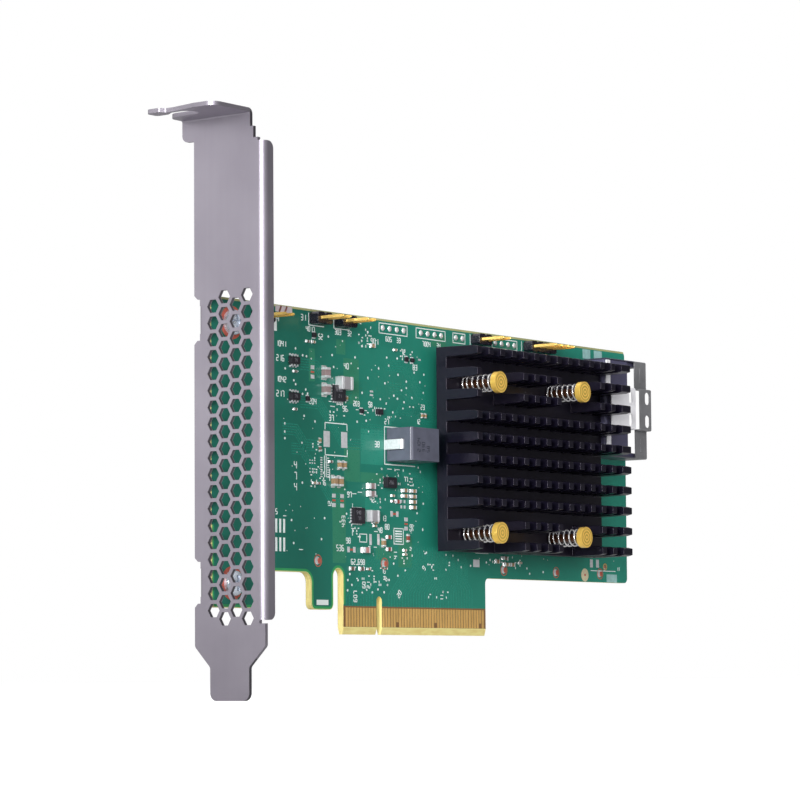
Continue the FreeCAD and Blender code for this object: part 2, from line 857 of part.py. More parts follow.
def make_choke_core():
    x0 = choke_x
    x1 = choke_x + choke_length
    top_y = face_y - choke_height
    core = box(x0, x1, top_y, face_y, choke_z, choke_z + choke_width)
    for x, side in ((x0, 1.0), (x1, -1.0)):
        edge = plate_xy([
            (x - side, top_y - 1.0, 0.0),
            (x + side * choke_chamfer, top_y - 1.0, 0.0),
            (x + side * choke_chamfer, top_y, 0.0),
            (x, top_y + choke_chamfer, 0.0),
            (x - side, top_y + choke_chamfer, 0.0),
        ], choke_z - 1.0, choke_z + choke_width + 1.0)
        core = core.cut(edge)
    play = strap_clearance
    half = strap_width / 2.0 + play
    strap_y = face_y - strap_height
    tunnel = box(x0 - 1.0, x1 + 1.0, strap_y - play, strap_y + strap_thickness + play,
                 choke_mid_z - half, choke_mid_z + half)
    depth = strap_thickness + play
    legs = [box(x0 - 1.0, x0 + depth, strap_y - play, face_y + 1.0,
                choke_mid_z - half, choke_mid_z + half),
            box(x1 - depth, x1 + 1.0, strap_y - play, face_y + 1.0,
                choke_mid_z - half, choke_mid_z + half)]
    foot = strap_foot + play
    feet = [box(x0 - 1.0, x0 + foot, face_y - strap_thickness - play, face_y + 1.0,
                choke_mid_z - half, choke_mid_z + half),
            box(x1 - foot, x1 + 1.0, face_y - strap_thickness - play, face_y + 1.0,
                choke_mid_z - half, choke_mid_z + half)]
    return one_solid(core.cut(Part.makeCompound([tunnel] + legs + feet)))


def make_choke_strap():
    x0 = choke_x
    x1 = choke_x + choke_length
    top = face_y - strap_height
    t = strap_thickness
    f = strap_foot
    strap = plate_xy([
        (x0 + f, face_y, 0.0),
        (x0, face_y, 0.0),
        (x0, top, strap_bend_r),
        (x1, top, strap_bend_r),
        (x1, face_y, 0.0),
        (x1 - f, face_y, 0.0),
        (x1 - f, face_y - t, 0.0),
        (x1 - t, face_y - t, 0.0),
        (x1 - t, top + t, 0.0),
        (x0 + t, top + t, 0.0),
        (x0 + t, face_y - t, 0.0),
        (x0 + f, face_y - t, 0.0),
    ], choke_mid_z - strap_width / 2.0, choke_mid_z + strap_width / 2.0)
    return strap


# ---- pin headers ----
def make_header_base(name):
    places = header_pin_places(name)
    z = places[0][1]
    c = header_chamfer
    h = header_pitch / 2.0
    top_y = face_y - header_base
    corners = []
    for x, _ in places:
        corners.append((x - h + c, z - h, 0.0))
        corners.append((x + h - c, z - h, 0.0))
        if x != places[-1][0]:
            corners.append((x + h, z - h + c, 0.0))
        else:
            corners.append((x + h, z - h + c, 0.0))
            corners.append((x + h, z + h - c, 0.0))
    for x, _ in reversed(places):
        corners.append((x + h - c, z + h, 0.0))
        corners.append((x - h + c, z + h, 0.0))
        corners.append((x - h, z + h - c, 0.0))
    corners.append((places[0][0] - h, z - h + c, 0.0))
    base = plate_xz(corners, top_y, face_y)
    bores = []
    half = header_pin / 2.0
    for x, pin_z in places:
        bores.append(box(x - half, x + half, top_y - 1.0, face_y + 1.0,
                         pin_z - half, pin_z + half))
    return one_solid(base.cut(Part.makeCompound(bores)))


def make_header_pins(name):
    # Each pin is where two pointed profiles cross, one seen from above and one from the end.
    pins = []
    half = header_pin / 2.0
    tip = half * 0.45
    top_y = face_y - header_base - header_pin_rise
    neck_y = top_y + header_pin_point
    end_y = rear_y + header_pin_tail
    for x, z in header_pin_places(name):
        across = plate_xy([
            (x - tip, top_y, 0.0), (x + tip, top_y, 0.0), (x + half, neck_y, 0.0),
            (x + half, end_y, 0.0), (x - half, end_y, 0.0), (x - half, neck_y, 0.0),
        ], z - half, z + half)
        along = plate_yz([
            (top_y, z - tip, 0.0), (top_y, z + tip, 0.0), (neck_y, z + half, 0.0),
            (end_y, z + half, 0.0), (end_y, z - half, 0.0), (neck_y, z - half, 0.0),
        ], x - half, x + half)
        pins.append(one_solid(across.common(along)))
    return Part.makeCompound(pins)


# ---- small packages, each given as left X, low Z, length, width and height ----
packages = {
    "buck_driver_ic": (-16.3, 49.7, 4.0, 3.6, 0.9),
    "chip_inductor_upper": (-12.6, 53.9, 4.1, 3.1, 1.9),
    "regulator_ic": (-7.4, 26.0, 3.4, 3.4, 0.9),
    "chip_inductor_lower": (-3.2, 26.3, 2.9, 2.9, 1.6),
    "flash_memory_ic": (4.4, 33.2, 3.2, 1.9, 0.9),
    "logic_ic_upper": (-31.0, 56.6, 3.0, 1.7, 1.05),
    "logic_ic_lower": (-31.0, 49.0, 3.0, 1.7, 1.05),
}


def make_package(name):
    x, z, length, width, height = packages[name]
    lift = 0.1 if name.startswith("logic") or name.startswith("flash") else 0.0
    d = package_draft
    low_y = face_y - lift
    top_y = face_y - height
    wires = []
    for y, inset in ((low_y, 0.0), (top_y, d)):
        wires.append(Part.makePolygon([
            Vector(x + inset, y, z + inset), Vector(x + length - inset, y, z + inset),
            Vector(x + length - inset, y, z + width - inset),
            Vector(x + inset, y, z + width - inset), Vector(x + inset, y, z + inset)]))
    return Part.makeLoft(wires, True, True)


def make_leads(names):
    leads = []
    t = lead_thickness
    for name in names:
        x, z, length, width, height = packages[name]
        for i in range(3):
            lead_x = x + length / 2.0 + (i - 1) * 0.95
            for side in (-1.0, 1.0):
                edge = z + width / 2.0 + side * width / 2.0
                reach = edge + side * 0.6
                shoulder = edge + side * 0.22
                y1 = face_y - height * 0.5
                profile = [
                    Vector(lead_x - 0.2, face_y, reach),
                    Vector(lead_x - 0.2, face_y, shoulder),
                    Vector(lead_x - 0.2, y1, shoulder),
                    Vector(lead_x - 0.2, y1, edge),
                    Vector(lead_x - 0.2, y1 - t, edge),
                    Vector(lead_x - 0.2, y1 - t, shoulder + side * t),
                    Vector(lead_x - 0.2, face_y - t, shoulder + side * t),
                    Vector(lead_x - 0.2, face_y - t, reach),
                ]
                wire = Part.makePolygon(profile + [profile[0]])
                leads.append(Part.Face(wire).extrude(Vector(0.4, 0, 0)))
    return Part.makeCompound(leads)


# ---- ceramic capacitors: a body between two plated ends ----
# Each is the centre's X and Z, the direction in which it lies, and its size.
large_cap = (3.0, 1.7, 1.5)
medium_cap = (2.0, 1.25, 1.0)
small_cap = (1.0, 0.55, 0.5)
capacitors_supply = [
    (-18.6, 55.9, "x", large_cap), (-18.6, 52.1, "x", large_cap),
    (-8.9, 50.6, "z", medium_cap), (-6.6, 50.6, "z", medium_cap),
    (-24.2, 53.2, "z", medium_cap), (-21.9, 46.9, "x", medium_cap),
    (-5.8, 40.6, "z", medium_cap), (-3.4, 40.6, "z", medium_cap),
]
capacitors_core = [
    (7.2, 30.9, "z", medium_cap), (9.4, 30.9, "z", medium_cap),
    (11.6, 30.9, "z", medium_cap), (7.6, 27.6, "x", small_cap),
    (9.6, 27.6, "x", small_cap), (11.6, 27.6, "x", small_cap),
    (-5.9, 23.6, "x", medium_cap), (-2.2, 23.6, "x", medium_cap),
    (1.6, 27.2, "z", medium_cap), (1.6, 23.4, "z", small_cap),
    (14.9, 23.8, "z", small_cap), (16.4, 23.8, "z", small_cap),
]
decoupling_rows = 3
decoupling_columns = 4
decoupling_pitch = 4.6


def make_capacitor(x, z, along, size, surface_y, outward):
    length, width, height = size
    cap_end = length * 0.22
    y0 = surface_y if outward > 0 else surface_y - height
    y1 = y0 + height
    inset = 0.03
    pieces = []
    for start, end, shrink in ((0.0, cap_end, 0.0), (cap_end, length - cap_end, inset),
                               (length - cap_end, length, 0.0)):
        a0 = start - length / 2.0
        a1 = end - length / 2.0
        b = width / 2.0 - shrink
        if along == "x":
            pieces.append(box(x + a0, x + a1, y0, y1, z - b, z + b))
        else:
            pieces.append(box(x - b, x + b, y0, y1, z + a0, z + a1))
    return pieces


def make_capacitors(places):
    pieces = []
    for x, z, along, size in places:
        pieces += make_capacitor(x, z, along, size, face_y, -1)
    return Part.makeCompound(pieces)


def make_decoupling():
    cx, cz = chip_centre()
    pieces = []
    for row in range(decoupling_rows):
        for column in range(decoupling_columns):
            x = cx + (column - (decoupling_columns - 1) / 2.0) * decoupling_pitch
            z = cz + (row - (decoupling_rows - 1) / 2.0) * decoupling_pitch
            pieces += make_capacitor(x, z, "z", small_cap, rear_y, 1)
    return Part.makeCompound(pieces)


save("circuit_board", make_board())
save("edge_contacts", make_contacts())
save("slot_bracket", make_bracket())
save("bracket_screw_upper", make_screw(screw_upper_z))
save("bracket_screw_lower", make_screw(screw_lower_z))
save("controller_substrate", make_substrate())
save("controller_lid", make_lid())
save("thermal_pad", make_thermal_pad())
save("heat_sink", make_heat_sink())
number = 1
for z in push_pin_z:
    for x in push_pin_x:
        save("push_pin_%d" % number, make_push_pin(x, z))
        save("push_pin_spring_%d" % number, make_spring(x, z))
        number += 1
save("cable_socket_body", make_socket_body())
save("cable_socket_shell", make_socket_shell())
save("cable_socket_contacts", make_socket_contacts())
save("power_choke_core", make_choke_core())
save("power_choke_strap", make_choke_strap())
for name in headers:
    save(name + "_base", make_header_base(name))
    save(name + "_pins", make_header_pins(name))
for name in packages:
    save(name, make_package(name))
save("logic_ic_leads", make_leads(("logic_ic_upper", "logic_ic_lower")))
save("capacitors_supply", make_capacitors(capacitors_supply))
save("capacitors_core", make_capacitors(capacitors_core))
save("capacitors_rear", make_decoupling())
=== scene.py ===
# Raid controller card: finishes, print and small parts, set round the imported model.
# Lengths are in millimetres until meshFrom puts them into a mesh; the card's component
# side faces -Y, the slot bracket is at -X, and +Z is up from the edge contacts.
import bpy
import bmesh
import math
import numpy as np
from mathutils import Matrix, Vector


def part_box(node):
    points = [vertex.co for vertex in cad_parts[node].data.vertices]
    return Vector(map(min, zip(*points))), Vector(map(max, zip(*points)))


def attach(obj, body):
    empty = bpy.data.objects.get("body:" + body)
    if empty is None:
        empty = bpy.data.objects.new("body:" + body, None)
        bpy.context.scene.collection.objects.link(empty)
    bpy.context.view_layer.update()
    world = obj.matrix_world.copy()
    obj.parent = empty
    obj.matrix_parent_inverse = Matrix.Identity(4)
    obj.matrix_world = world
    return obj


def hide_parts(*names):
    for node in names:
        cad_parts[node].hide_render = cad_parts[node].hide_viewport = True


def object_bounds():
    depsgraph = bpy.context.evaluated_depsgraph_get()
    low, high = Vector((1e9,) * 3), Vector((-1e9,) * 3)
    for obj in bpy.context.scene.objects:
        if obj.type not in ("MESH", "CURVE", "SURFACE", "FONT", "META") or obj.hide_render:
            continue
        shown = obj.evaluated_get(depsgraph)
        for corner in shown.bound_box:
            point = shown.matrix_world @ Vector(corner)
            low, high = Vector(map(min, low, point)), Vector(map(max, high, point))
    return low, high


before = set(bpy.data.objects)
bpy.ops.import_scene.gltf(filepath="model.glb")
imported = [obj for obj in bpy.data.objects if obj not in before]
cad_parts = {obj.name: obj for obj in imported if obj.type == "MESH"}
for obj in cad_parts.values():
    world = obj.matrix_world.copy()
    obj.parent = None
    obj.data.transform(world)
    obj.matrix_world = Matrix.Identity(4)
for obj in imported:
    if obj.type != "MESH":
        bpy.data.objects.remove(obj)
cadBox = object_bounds()
print("frame loaded,", len(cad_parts), "pieces")

mm = 0.001


def span(node):
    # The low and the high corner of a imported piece, in millimetres.
    return [np.array(corner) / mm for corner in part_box(node)]


boardLow, boardHigh = span("circuit_board")
faceY, rearY = boardLow[1], boardHigh[1]
pinPlaces = [(25.8, 22.4), (59.2, 22.4), (25.8, 55.8), (59.2, 55.8)]
headers = {"bracket": 2, "fault": 2, "activity": 2, "service": 2, "console": 4}
# how far the socket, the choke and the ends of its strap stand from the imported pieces
seat = {"socket": (-0.25, 0.0, -0.5), "choke": (0.0, 0.0, 0.6), "strapProud": 0.45}

view = {
    "place": (-0.561282, -0.429296, -0.009628),
    "right": (0.60187, -0.79856, -0.00743),
    "up": (-0.06380, -0.05735, 0.99631),
    "ahead": (0.79604235, 0.59917614, 0.08546657),
    "lens": 146.477, "sensor": 36.0, "near": 0.05, "far": 20.0,
}
studio = {
    "floorColour": (0.58, 0.58, 0.58), "floorGap": 0.0002, "floorLift": 0.75, "floorReach": 6.0,
    # for gloss: the wall's level, its slope along X, Y and Z, and the least of it
    "wall": 0.46, "slopes": (-0.42, 0.13, 0.35), "least": 0.07, "fill": 0.45,
    # lamps: place, target, size and power
    "lamps": {"keyLamp": ((-0.75, -0.75, 0.42), (0.0, 0.0, 0.03), 0.5, 2.6),
              "fillLamp": ((-0.95, -0.35, 0.17), (0.0, 0.0, 0.03), 0.26, 9.5),
              "topLamp": ((-0.1, 0.1, 0.8), (0.02, 0.0, 0.03), 0.7, 2.6)},
}
looks = {}


def unit(vectors):
    return vectors / np.linalg.norm(vectors, axis=-1, keepdims=True)


def addItem(name, data):
    item = bpy.data.objects.new(name, data)
    bpy.context.scene.collection.objects.link(item)
    return item


def standAt(item, place, right, up, ahead):
    columns = np.array([right, up, -np.array(ahead), place])
    item.matrix_world = Matrix([*columns.T.tolist(), [0, 0, 0, 1]])


def makeCamera():
    camera = addItem("camera", bpy.data.cameras.new("camera"))
    camera.data.sensor_width = view["sensor"]
    camera.data.lens = view["lens"]
    camera.data.clip_start = view["near"]
    camera.data.clip_end = view["far"]
    standAt(camera, view["place"], view["right"], view["up"], view["ahead"])
    bpy.context.scene.camera = camera


def makeLamp(name, place, target, size, power):
    data = bpy.data.lights.new(name, "AREA")
    data.shape = "RECTANGLE"
    data.size = size
    data.size_y = size
    data.energy = power
    ahead = unit(np.array(target) - place)
    side = unit(np.cross(ahead, (0, 0, 1)))
    standAt(addItem(name, data), place, side, np.cross(side, ahead), ahead)


def setInputs(tree, node, inputs):
    # Each input is a link from another node or a plain value.
    for key, value in inputs.items():
        if isinstance(value, bpy.types.NodeSocket):
            tree.links.new(value, node.inputs[key])
        else:
            node.inputs[key].default_value = value


def addNode(tree, kind, inputs, **settings):
    node = tree.nodes.new("ShaderNode" + kind)
    for key, value in settings.items():
        setattr(node, key, value)
    setInputs(tree, node, inputs)
    return node


def maths(tree, operation, *values):
    return addNode(tree, "Math", dict(enumerate(values)), operation=operation).outputs[0]


def axes(tree, coordinate):
    return list(addNode(tree, "SeparateXYZ", {"Vector": coordinate}).outputs)


def within(tree, value, middle, reach):
    # One where the value lies within the reach of the middle, both in millimetres.
    away = maths(tree, "ABSOLUTE", maths(tree, "SUBTRACT", value, middle * mm))
    return maths(tree, "LESS_THAN", away, reach * mm)


def spread(tree, value, low, high, outLow=0.0, outHigh=1.0):
    return addNode(tree, "MapRange", {"Value": value, "From Min": low, "From Max": high,
                                      "To Min": outLow, "To Max": outHigh}).outputs["Result"]


def noiseAt(tree, coordinate, scale, detail, stretch=(1, 1, 1)):
    place = addNode(tree, "Mapping", {"Vector": coordinate, "Scale": stretch}).outputs["Vector"]
    return addNode(tree, "TexNoise", {"Vector": place, "Scale": scale,
                                      "Detail": detail}).outputs["Fac"]


def blendColours(tree, factor, low, high):
    low, high = [colour if isinstance(colour, bpy.types.NodeSocket) else (*colour, 1)
                 for colour in (low, high)]
    return addNode(tree, "Mix", {0: factor, 6: low, 7: high}, data_type="RGBA").outputs[2]


def scaled(tree, colour, factor):
    return addNode(tree, "VectorMath", {0: colour, "Scale": factor}, operation="SCALE").outputs[0]


def varied(tree, noise, colour, share):
    # The colour, darker and lighter by the share as the noise goes.
    colour = np.array(colour)
    return blendColours(tree, spread(tree, noise, 0.3, 0.7), tuple(colour * (1 - share)),
                        tuple(np.minimum(colour * (1 + share), 1.0)))


def bumped(tree, height, strength, distance):
    return addNode(tree, "Bump", {"Height": height, "Strength": strength,
                                  "Distance": distance}).outputs["Normal"]


def startFinish(name):
    material = bpy.data.materials.new(name)
    material.use_nodes = True
    tree = material.node_tree
    looks[name] = material
    return tree, tree.nodes["Principled BSDF"], addNode(tree, "TexCoord", {}).outputs["Object"]


def makeWorld():
    # White where the camera looks; for gloss a soft wall, brighter above and on the bracket's
    # side; for matt surfaces the plain fill.
    world = bpy.data.worlds.new("studio")
    bpy.context.scene.world = world
    world.use_nodes = True
    tree = world.node_tree
    tree.nodes.clear()
    wall = studio["wall"]
    where = addNode(tree, "TexCoord", {}).outputs["Generated"]
    for part, slope in zip(axes(tree, where), studio["slopes"]):
        wall = maths(tree, "MULTIPLY_ADD", part, slope, wall)
    wall = maths(tree, "MAXIMUM", wall, studio["least"])
    rays = addNode(tree, "LightPath", {}).outputs
    seen = maths(tree, "MAXIMUM", rays["Is Camera Ray"], rays["Is Transmission Ray"])
    fill = addNode(tree, "Mix", {0: rays["Is Glossy Ray"], 2: studio["fill"], 3: wall},
                   data_type="FLOAT").outputs[0]
    back = addNode(tree, "Background", {"Color": (1, 1, 1, 1),
                                        "Strength": maths(tree, "MAXIMUM", fill, seen)})
    addNode(tree, "OutputWorld", {"Surface": back.outputs[0]})


def makeFloor():
    lowest = cadBox[0][2] - studio["floorGap"]
    reach = studio["floorReach"]
    mesh = bpy.data.meshes.new("floor")
    mesh.from_pydata([(-reach, -reach, lowest), (reach, -reach, lowest),
                      (reach, reach, lowest), (-reach, reach, lowest)], [], [(0, 1, 2, 3)])
    tree, surface = startFinish("paperFloor")[:2]
    seen = addNode(tree, "LightPath", {}).outputs["Is Camera Ray"]
    setInputs(tree, surface, {
        "Base Color": (*studio["floorColour"], 1), "Roughness": 0.9, "Specular IOR Level": 0.0,
        "Emission Color": (1, 1, 1, 1),
        "Emission Strength": maths(tree, "MULTIPLY", seen, studio["floorLift"])})
    mesh.materials.append(looks["paperFloor"])
    addItem("floor", mesh)


# What a plain finish has unless its own row says otherwise.
plain = {"vary": 0.12, "broad": 220.0, "grain": 4000.0, "stretch": (1, 1, 1), "metal": 0.0,
         "specular": 0.5, "tint": (1.0, 1.0, 1.0), "coat": 0.0, "bump": 0.15, "depth": 0.00004}


def simpleFinish(name, colour, rough, **changes):
    # Two noises: a broad one shades the colour, a fine one is the gloss and the grain.
    look = {**plain, **changes}
    tree, surface, where = startFinish(name)
    broad = noiseAt(tree, where, look["broad"], 2.0, look["stretch"])
    fine = noiseAt(tree, where, look["grain"], 4.0, look["stretch"])
    setInputs(tree, surface, {
        "Base Color": varied(tree, broad, colour, look["vary"]),
        "Roughness": spread(tree, fine, 0.3, 0.7, rough * 0.88, min(rough * 1.12, 1.0)),
        "Metallic": look["metal"], "Specular IOR Level": look["specular"],
        "Specular Tint": (*look["tint"], 1), "Coat Weight": look["coat"], "Coat Roughness": 0.12,
        "Normal": bumped(tree, fine, look["bump"], look["depth"])})


mask = {
    "light": (0.020, 0.240, 0.170), "dark": (0.015, 0.200, 0.145),
    "edgePale": (0.94, 0.83, 0.34), "edgeDeep": (0.84, 0.68, 0.25),
    "laminate": (0.24, 0.125, 0.05), "bareTop": 0.0061, "bareFoot": 0.0016, "bareLeft": -0.014,
    # the painted shadow of the bracket at its end of the board and the painted light at the far
    # end: their levels, and where each fades out
    "paintedBracketShadow": 0.76, "near": (-0.024, -0.004), "paintedFarLight": 1.25, "far": (0.055, 0.085),
    "skin": 0.03,
}


def makeBoardFinish():
    # Green mask on both faces and the bare glass laminate, in layers, at the cut edges. The
    # mask stops above the contacts, and the bevelled foot under them is pale.
    tree, surface, where = startFinish("solderMask")
    x, y, z = axes(tree, where)
    onFace = maths(tree, "GREATER_THAN", maths(tree, "ABSOLUTE", y), (rearY - mask["skin"]) * mm)
    cloud = noiseAt(tree, where, 38.0, 2.0)
    weave = noiseAt(tree, where, 900.0, 2.0)
    layers = noiseAt(tree, where, 500.0, 2.0, (0.6, 9.0, 0.6))
    shade = maths(tree, "MULTIPLY_ADD", weave, 0.25, spread(tree, cloud, 0.35, 0.65, 0.0, 0.75))
    # painted shade and light: the green darkens towards the bracket, standing in for its cast
    # shadow, and brightens towards the far end
    paintedShadeAndLight = maths(tree, "MULTIPLY", spread(tree, x, *mask["near"], mask["paintedBracketShadow"], 1.0),
                 spread(tree, x, *mask["far"], 1.0, mask["paintedFarLight"]))
    green = scaled(tree, blendColours(tree, shade, mask["dark"], mask["light"]), paintedShadeAndLight)
    bare = maths(tree, "MULTIPLY", maths(tree, "LESS_THAN", z, mask["bareTop"]),
                 maths(tree, "GREATER_THAN", x, mask["bareLeft"]))
    green = blendColours(tree, bare, green, mask["laminate"])
    foot = maths(tree, "LESS_THAN", z, mask["bareFoot"])
    green = blendColours(tree, foot, green, mask["edgePale"])
    pale = blendColours(tree, spread(tree, layers, 0.35, 0.65), mask["edgeDeep"],
                        mask["edgePale"])
    relief = maths(tree, "MULTIPLY_ADD", weave, 0.5, maths(tree, "MULTIPLY", layers, 0.5))
    setInputs(tree, surface, {
        "Base Color": blendColours(tree, onFace, pale, green),
        "Roughness": spread(tree, onFace, 0.0, 1.0, 0.62, 0.3), "Specular IOR Level": 0.35,
        "Normal": bumped(tree, relief, 0.12, 0.00003)})


# besides the plating, the row holds the painted shade of the vent holes' walls, and the span and
# levels of the painted shade towards the tongue
sheet = {"middleX": -56.77, "wall": 0.33, "ventY": -6.54, "ventHalf": 6.7,
         "dark": (0.37, 0.34, 0.40), "light": (0.42, 0.39, 0.45), "paintedWallShade": (0.14, 0.13, 0.15),
         "paintedShadeZ": (-0.014, 0.03), "paintedShadeLevels": (0.70, 0.93)}


def makeSheetFinish():
    # Satin plated steel: faint streaks up the sheet, fine sparkle and a few dull patches. The
    # walls of the vent's holes, between the sheet's two faces, get a darker painted shade, and
    # painted shade darkens the sheet towards the tongue.
    tree, surface, where = startFinish("satinSheet")
    x, y, z = axes(tree, where)
    streaks = noiseAt(tree, where, 900.0, 4.0, (1.0, 1.0, 0.04))
    patches = noiseAt(tree, where, 55.0, 3.0)
    sparkle = noiseAt(tree, where, 7000.0, 2.0)
    shade = maths(tree, "MULTIPLY_ADD", streaks, 0.15, maths(tree, "MULTIPLY", patches, 0.85))
    colour = blendColours(tree, spread(tree, shade, 0.35, 0.65), sheet["dark"], sheet["light"])
    # painted shade on the walls of the vent's holes
    holeWallShade = maths(tree, "MULTIPLY", within(tree, x, sheet["middleX"], sheet["wall"]),
                    within(tree, y, sheet["ventY"], sheet["ventHalf"]))
    colour = blendColours(tree, holeWallShade, colour, sheet["paintedWallShade"])
    relief = maths(tree, "MULTIPLY_ADD", sparkle, 0.8, maths(tree, "MULTIPLY", streaks, 0.2))
    # painted shade: the colour darkens towards the tongue
    setInputs(tree, surface, {
        "Base Color": scaled(tree, colour, spread(tree, z, *sheet["paintedShadeZ"], *sheet["paintedShadeLevels"])),
        "Roughness": spread(tree, patches, 0.3, 0.7, 0.34, 0.46), "Metallic": 0.82,
        "Normal": bumped(tree, relief, 0.10, 0.00002)})


# the crown's near-white colour is a painted reflection
shell = {"paintedGleam": (0.96, 0.95, 0.99), "grey": (0.20, 0.20, 0.21), "dark": (0.05, 0.05, 0.085),
         "band": 92.8, "side": 0.5}


def makeShellFinish():
    # Stamped plate: a near-white painted reflection, not metallic, where it crowns the socket,
    # matt grey on the band at its mouth, and dark on the two sides that close it above and below.
    tree, surface, where = startFinish("shellSheet")
    x, y, z = axes(tree, where)
    low, high = span("cable_socket_shell")
    # the crown, which gets the painted reflection
    crown = within(tree, z, (low[2] + high[2]) / 2 + seat["socket"][2],
                   (high[2] - low[2]) / 2 - shell["side"])
    colour = blendColours(tree, crown, shell["dark"], shell["paintedGleam"])
    band = maths(tree, "GREATER_THAN", x, shell["band"] * mm)
    colour = blendColours(tree, band, colour, shell["grey"])
    cloud = noiseAt(tree, where, 300.0, 2.0)
    setInputs(tree, surface, {
        "Base Color": scaled(tree, colour, spread(tree, cloud, 0.3, 0.7, 0.94, 1.04)),
        "Metallic": 0.0, "Roughness": 0.34, "Normal": bumped(tree, cloud, 0.05, 0.00002)})


brass = {"colour": (1.0, 0.63, 0.13), "shaft": (0.085, 0.028, 0.010), "headDepth": 1.75,
         "rough": 0.26, "rings": 9000.0}


def makeBrassFinish():
    # Turned metal: rings round each pin's own axis, found from the distance to the nearest one.
    # Between the head and the board the shaft is darker.
    tree, surface, where = startFinish("turnedBrass")
    flat = addNode(tree, "VectorMath", {0: where, 1: (1, 0, 1)}, operation="MULTIPLY").outputs[0]
    reaches = [addNode(tree, "VectorMath", {0: flat, 1: (x * mm, 0, z * mm)},
                       operation="DISTANCE").outputs["Value"] for x, z in pinPlaces]
    nearest = reaches[0]
    for reach in reaches[1:]:
        nearest = maths(tree, "MINIMUM", nearest, reach)
    rings = maths(tree, "SINE", maths(tree, "MULTIPLY", nearest, brass["rings"]))
    back = span("push_pin_1")[0][1] + brass["headDepth"]
    shaft = within(tree, axes(tree, where)[1], (back + faceY) / 2, (faceY - back) / 2)
    colour = varied(tree, noiseAt(tree, where, 150.0, 2.0), brass["colour"], 0.05)
    setInputs(tree, surface, {
        "Base Color": blendColours(tree, shaft, colour, brass["shaft"]), "Metallic": 0.4,
        "Roughness": spread(tree, rings, -1.0, 1.0, brass["rough"], brass["rough"] * 1.1),
        "Normal": bumped(tree, rings, 0.015, 0.00001)})


finishes = {
    "blackAnodised": dict(colour=(0.0042, 0.0034, 0.0100), rough=0.34, vary=0.2, broad=120.0,
                          grain=5200.0, bump=0.10, depth=0.00002, specular=0.46,
                          tint=(0.92, 0.84, 1.0)),
    "springWire": dict(colour=(0.80, 0.79, 0.80), rough=0.16, metal=0.8, vary=0.06, bump=0.05),
    "goldPlate": dict(colour=(0.86, 0.58, 0.22), rough=0.30, metal=0.5, vary=0.12, broad=600.0,
                      bump=0.06),
    "edgeGold": dict(colour=(0.78, 0.49, 0.16), rough=0.32, metal=0.3, vary=0.14, broad=900.0,
                     stretch=(1.0, 1.0, 0.2), bump=0.05),
    "pinGold": dict(colour=(0.93, 0.62, 0.17), rough=0.22, metal=0.5, vary=0.06, broad=500.0,
                    bump=0.03),
    "brightTin": dict(colour=(0.86, 0.87, 0.90), rough=0.34, metal=0.45, vary=0.08, broad=1500.0,
                      grain=3000.0, bump=0.25),
    "solder": dict(colour=(0.84, 0.84, 0.84), rough=0.25, metal=0.45, vary=0.12, broad=1800.0,
                   bump=0.12),
    "barePlate": dict(colour=(0.62, 0.13, 0.085), rough=0.35, metal=0.2, vary=0.12, broad=1600.0),
    "creamPlate": dict(colour=(0.86, 0.76, 0.50), rough=0.4, metal=0.2, vary=0.08, broad=1600.0),
    "socketPlastic": dict(colour=(0.088, 0.083, 0.150), rough=0.42, vary=0.08, grain=2600.0,
                          bump=0.14, specular=0.4),
    "ferriteBlock": dict(colour=(0.098, 0.104, 0.145), rough=0.38, vary=0.16, broad=300.0,
                         grain=2200.0, bump=0.3, depth=0.00005, specular=0.6, coat=0.25),
    "headerPlastic": dict(colour=(0.010, 0.007, 0.016), rough=0.26, vary=0.15, bump=0.06,
                          specular=0.6),
    "chipEpoxy": dict(colour=(0.016, 0.015, 0.022), rough=0.45, vary=0.18, grain=3600.0,
                      bump=0.25, depth=0.00003),
    "chokeMark": dict(colour=(0.030, 0.032, 0.045), rough=0.6, vary=0.15, grain=2600.0),
    "chipMark": dict(colour=(0.22, 0.22, 0.25), rough=0.6, vary=0.15, grain=2600.0),
    "greyPowder": dict(colour=(0.33, 0.32, 0.34), rough=0.5, vary=0.12, grain=2600.0, bump=0.3),
    "whitePrint": dict(colour=(0.86, 0.93, 0.92), rough=0.55, vary=0.05, grain=2500.0, bump=0.15),
    "cyanPatch": dict(colour=(0.36, 0.62, 0.60), rough=0.6, vary=0.12, broad=900.0),
    "labelTape": dict(colour=(0.60, 0.52, 0.55), rough=0.5, vary=0.08, broad=900.0),
    "labelStripe": dict(colour=(0.20, 0.05, 0.04), rough=0.5, vary=0.1),
    "laminateGreen": dict(colour=(0.03, 0.20, 0.10), rough=0.5, vary=0.1),
    "lidNickel": dict(colour=(0.6, 0.59, 0.56), rough=0.4, metal=1.0, vary=0.06),
    "thermalGrey": dict(colour=(0.42, 0.42, 0.43), rough=0.7, vary=0.1, bump=0.3),
    "screwPlate": dict(colour=(0.72, 0.78, 0.88), rough=0.26, metal=0.5, vary=0.08, bump=0.06),
    "paleMask": dict(colour=(0.022, 0.275, 0.195), rough=0.3, vary=0.05, specular=0.35),
    "oliveMask": dict(colour=(0.035, 0.235, 0.140), rough=0.3, vary=0.06, specular=0.35),
    "traceMask": dict(colour=(0.024, 0.265, 0.190), rough=0.28, vary=0.05, specular=0.35),
    "marginMask": dict(colour=(0.035, 0.34, 0.115), rough=0.35, vary=0.08, specular=0.35),
    "edgeLine": dict(colour=(0.62, 0.66, 0.26), rough=0.5, vary=0.08, specular=0.3),
    "topLine": dict(colour=(0.46, 0.47, 0.22), rough=0.5, vary=0.1, specular=0.3),
}
ceramics = {"tan": ((0.40, 0.26, 0.14), 0.15), "brown": ((0.16, 0.10, 0.065), 0.2),
            "grey": ((0.34, 0.25, 0.25), 0.12), "pink": ((0.52, 0.25, 0.24), 0.12),
            "red": ((0.30, 0.07, 0.05), 0.15)}
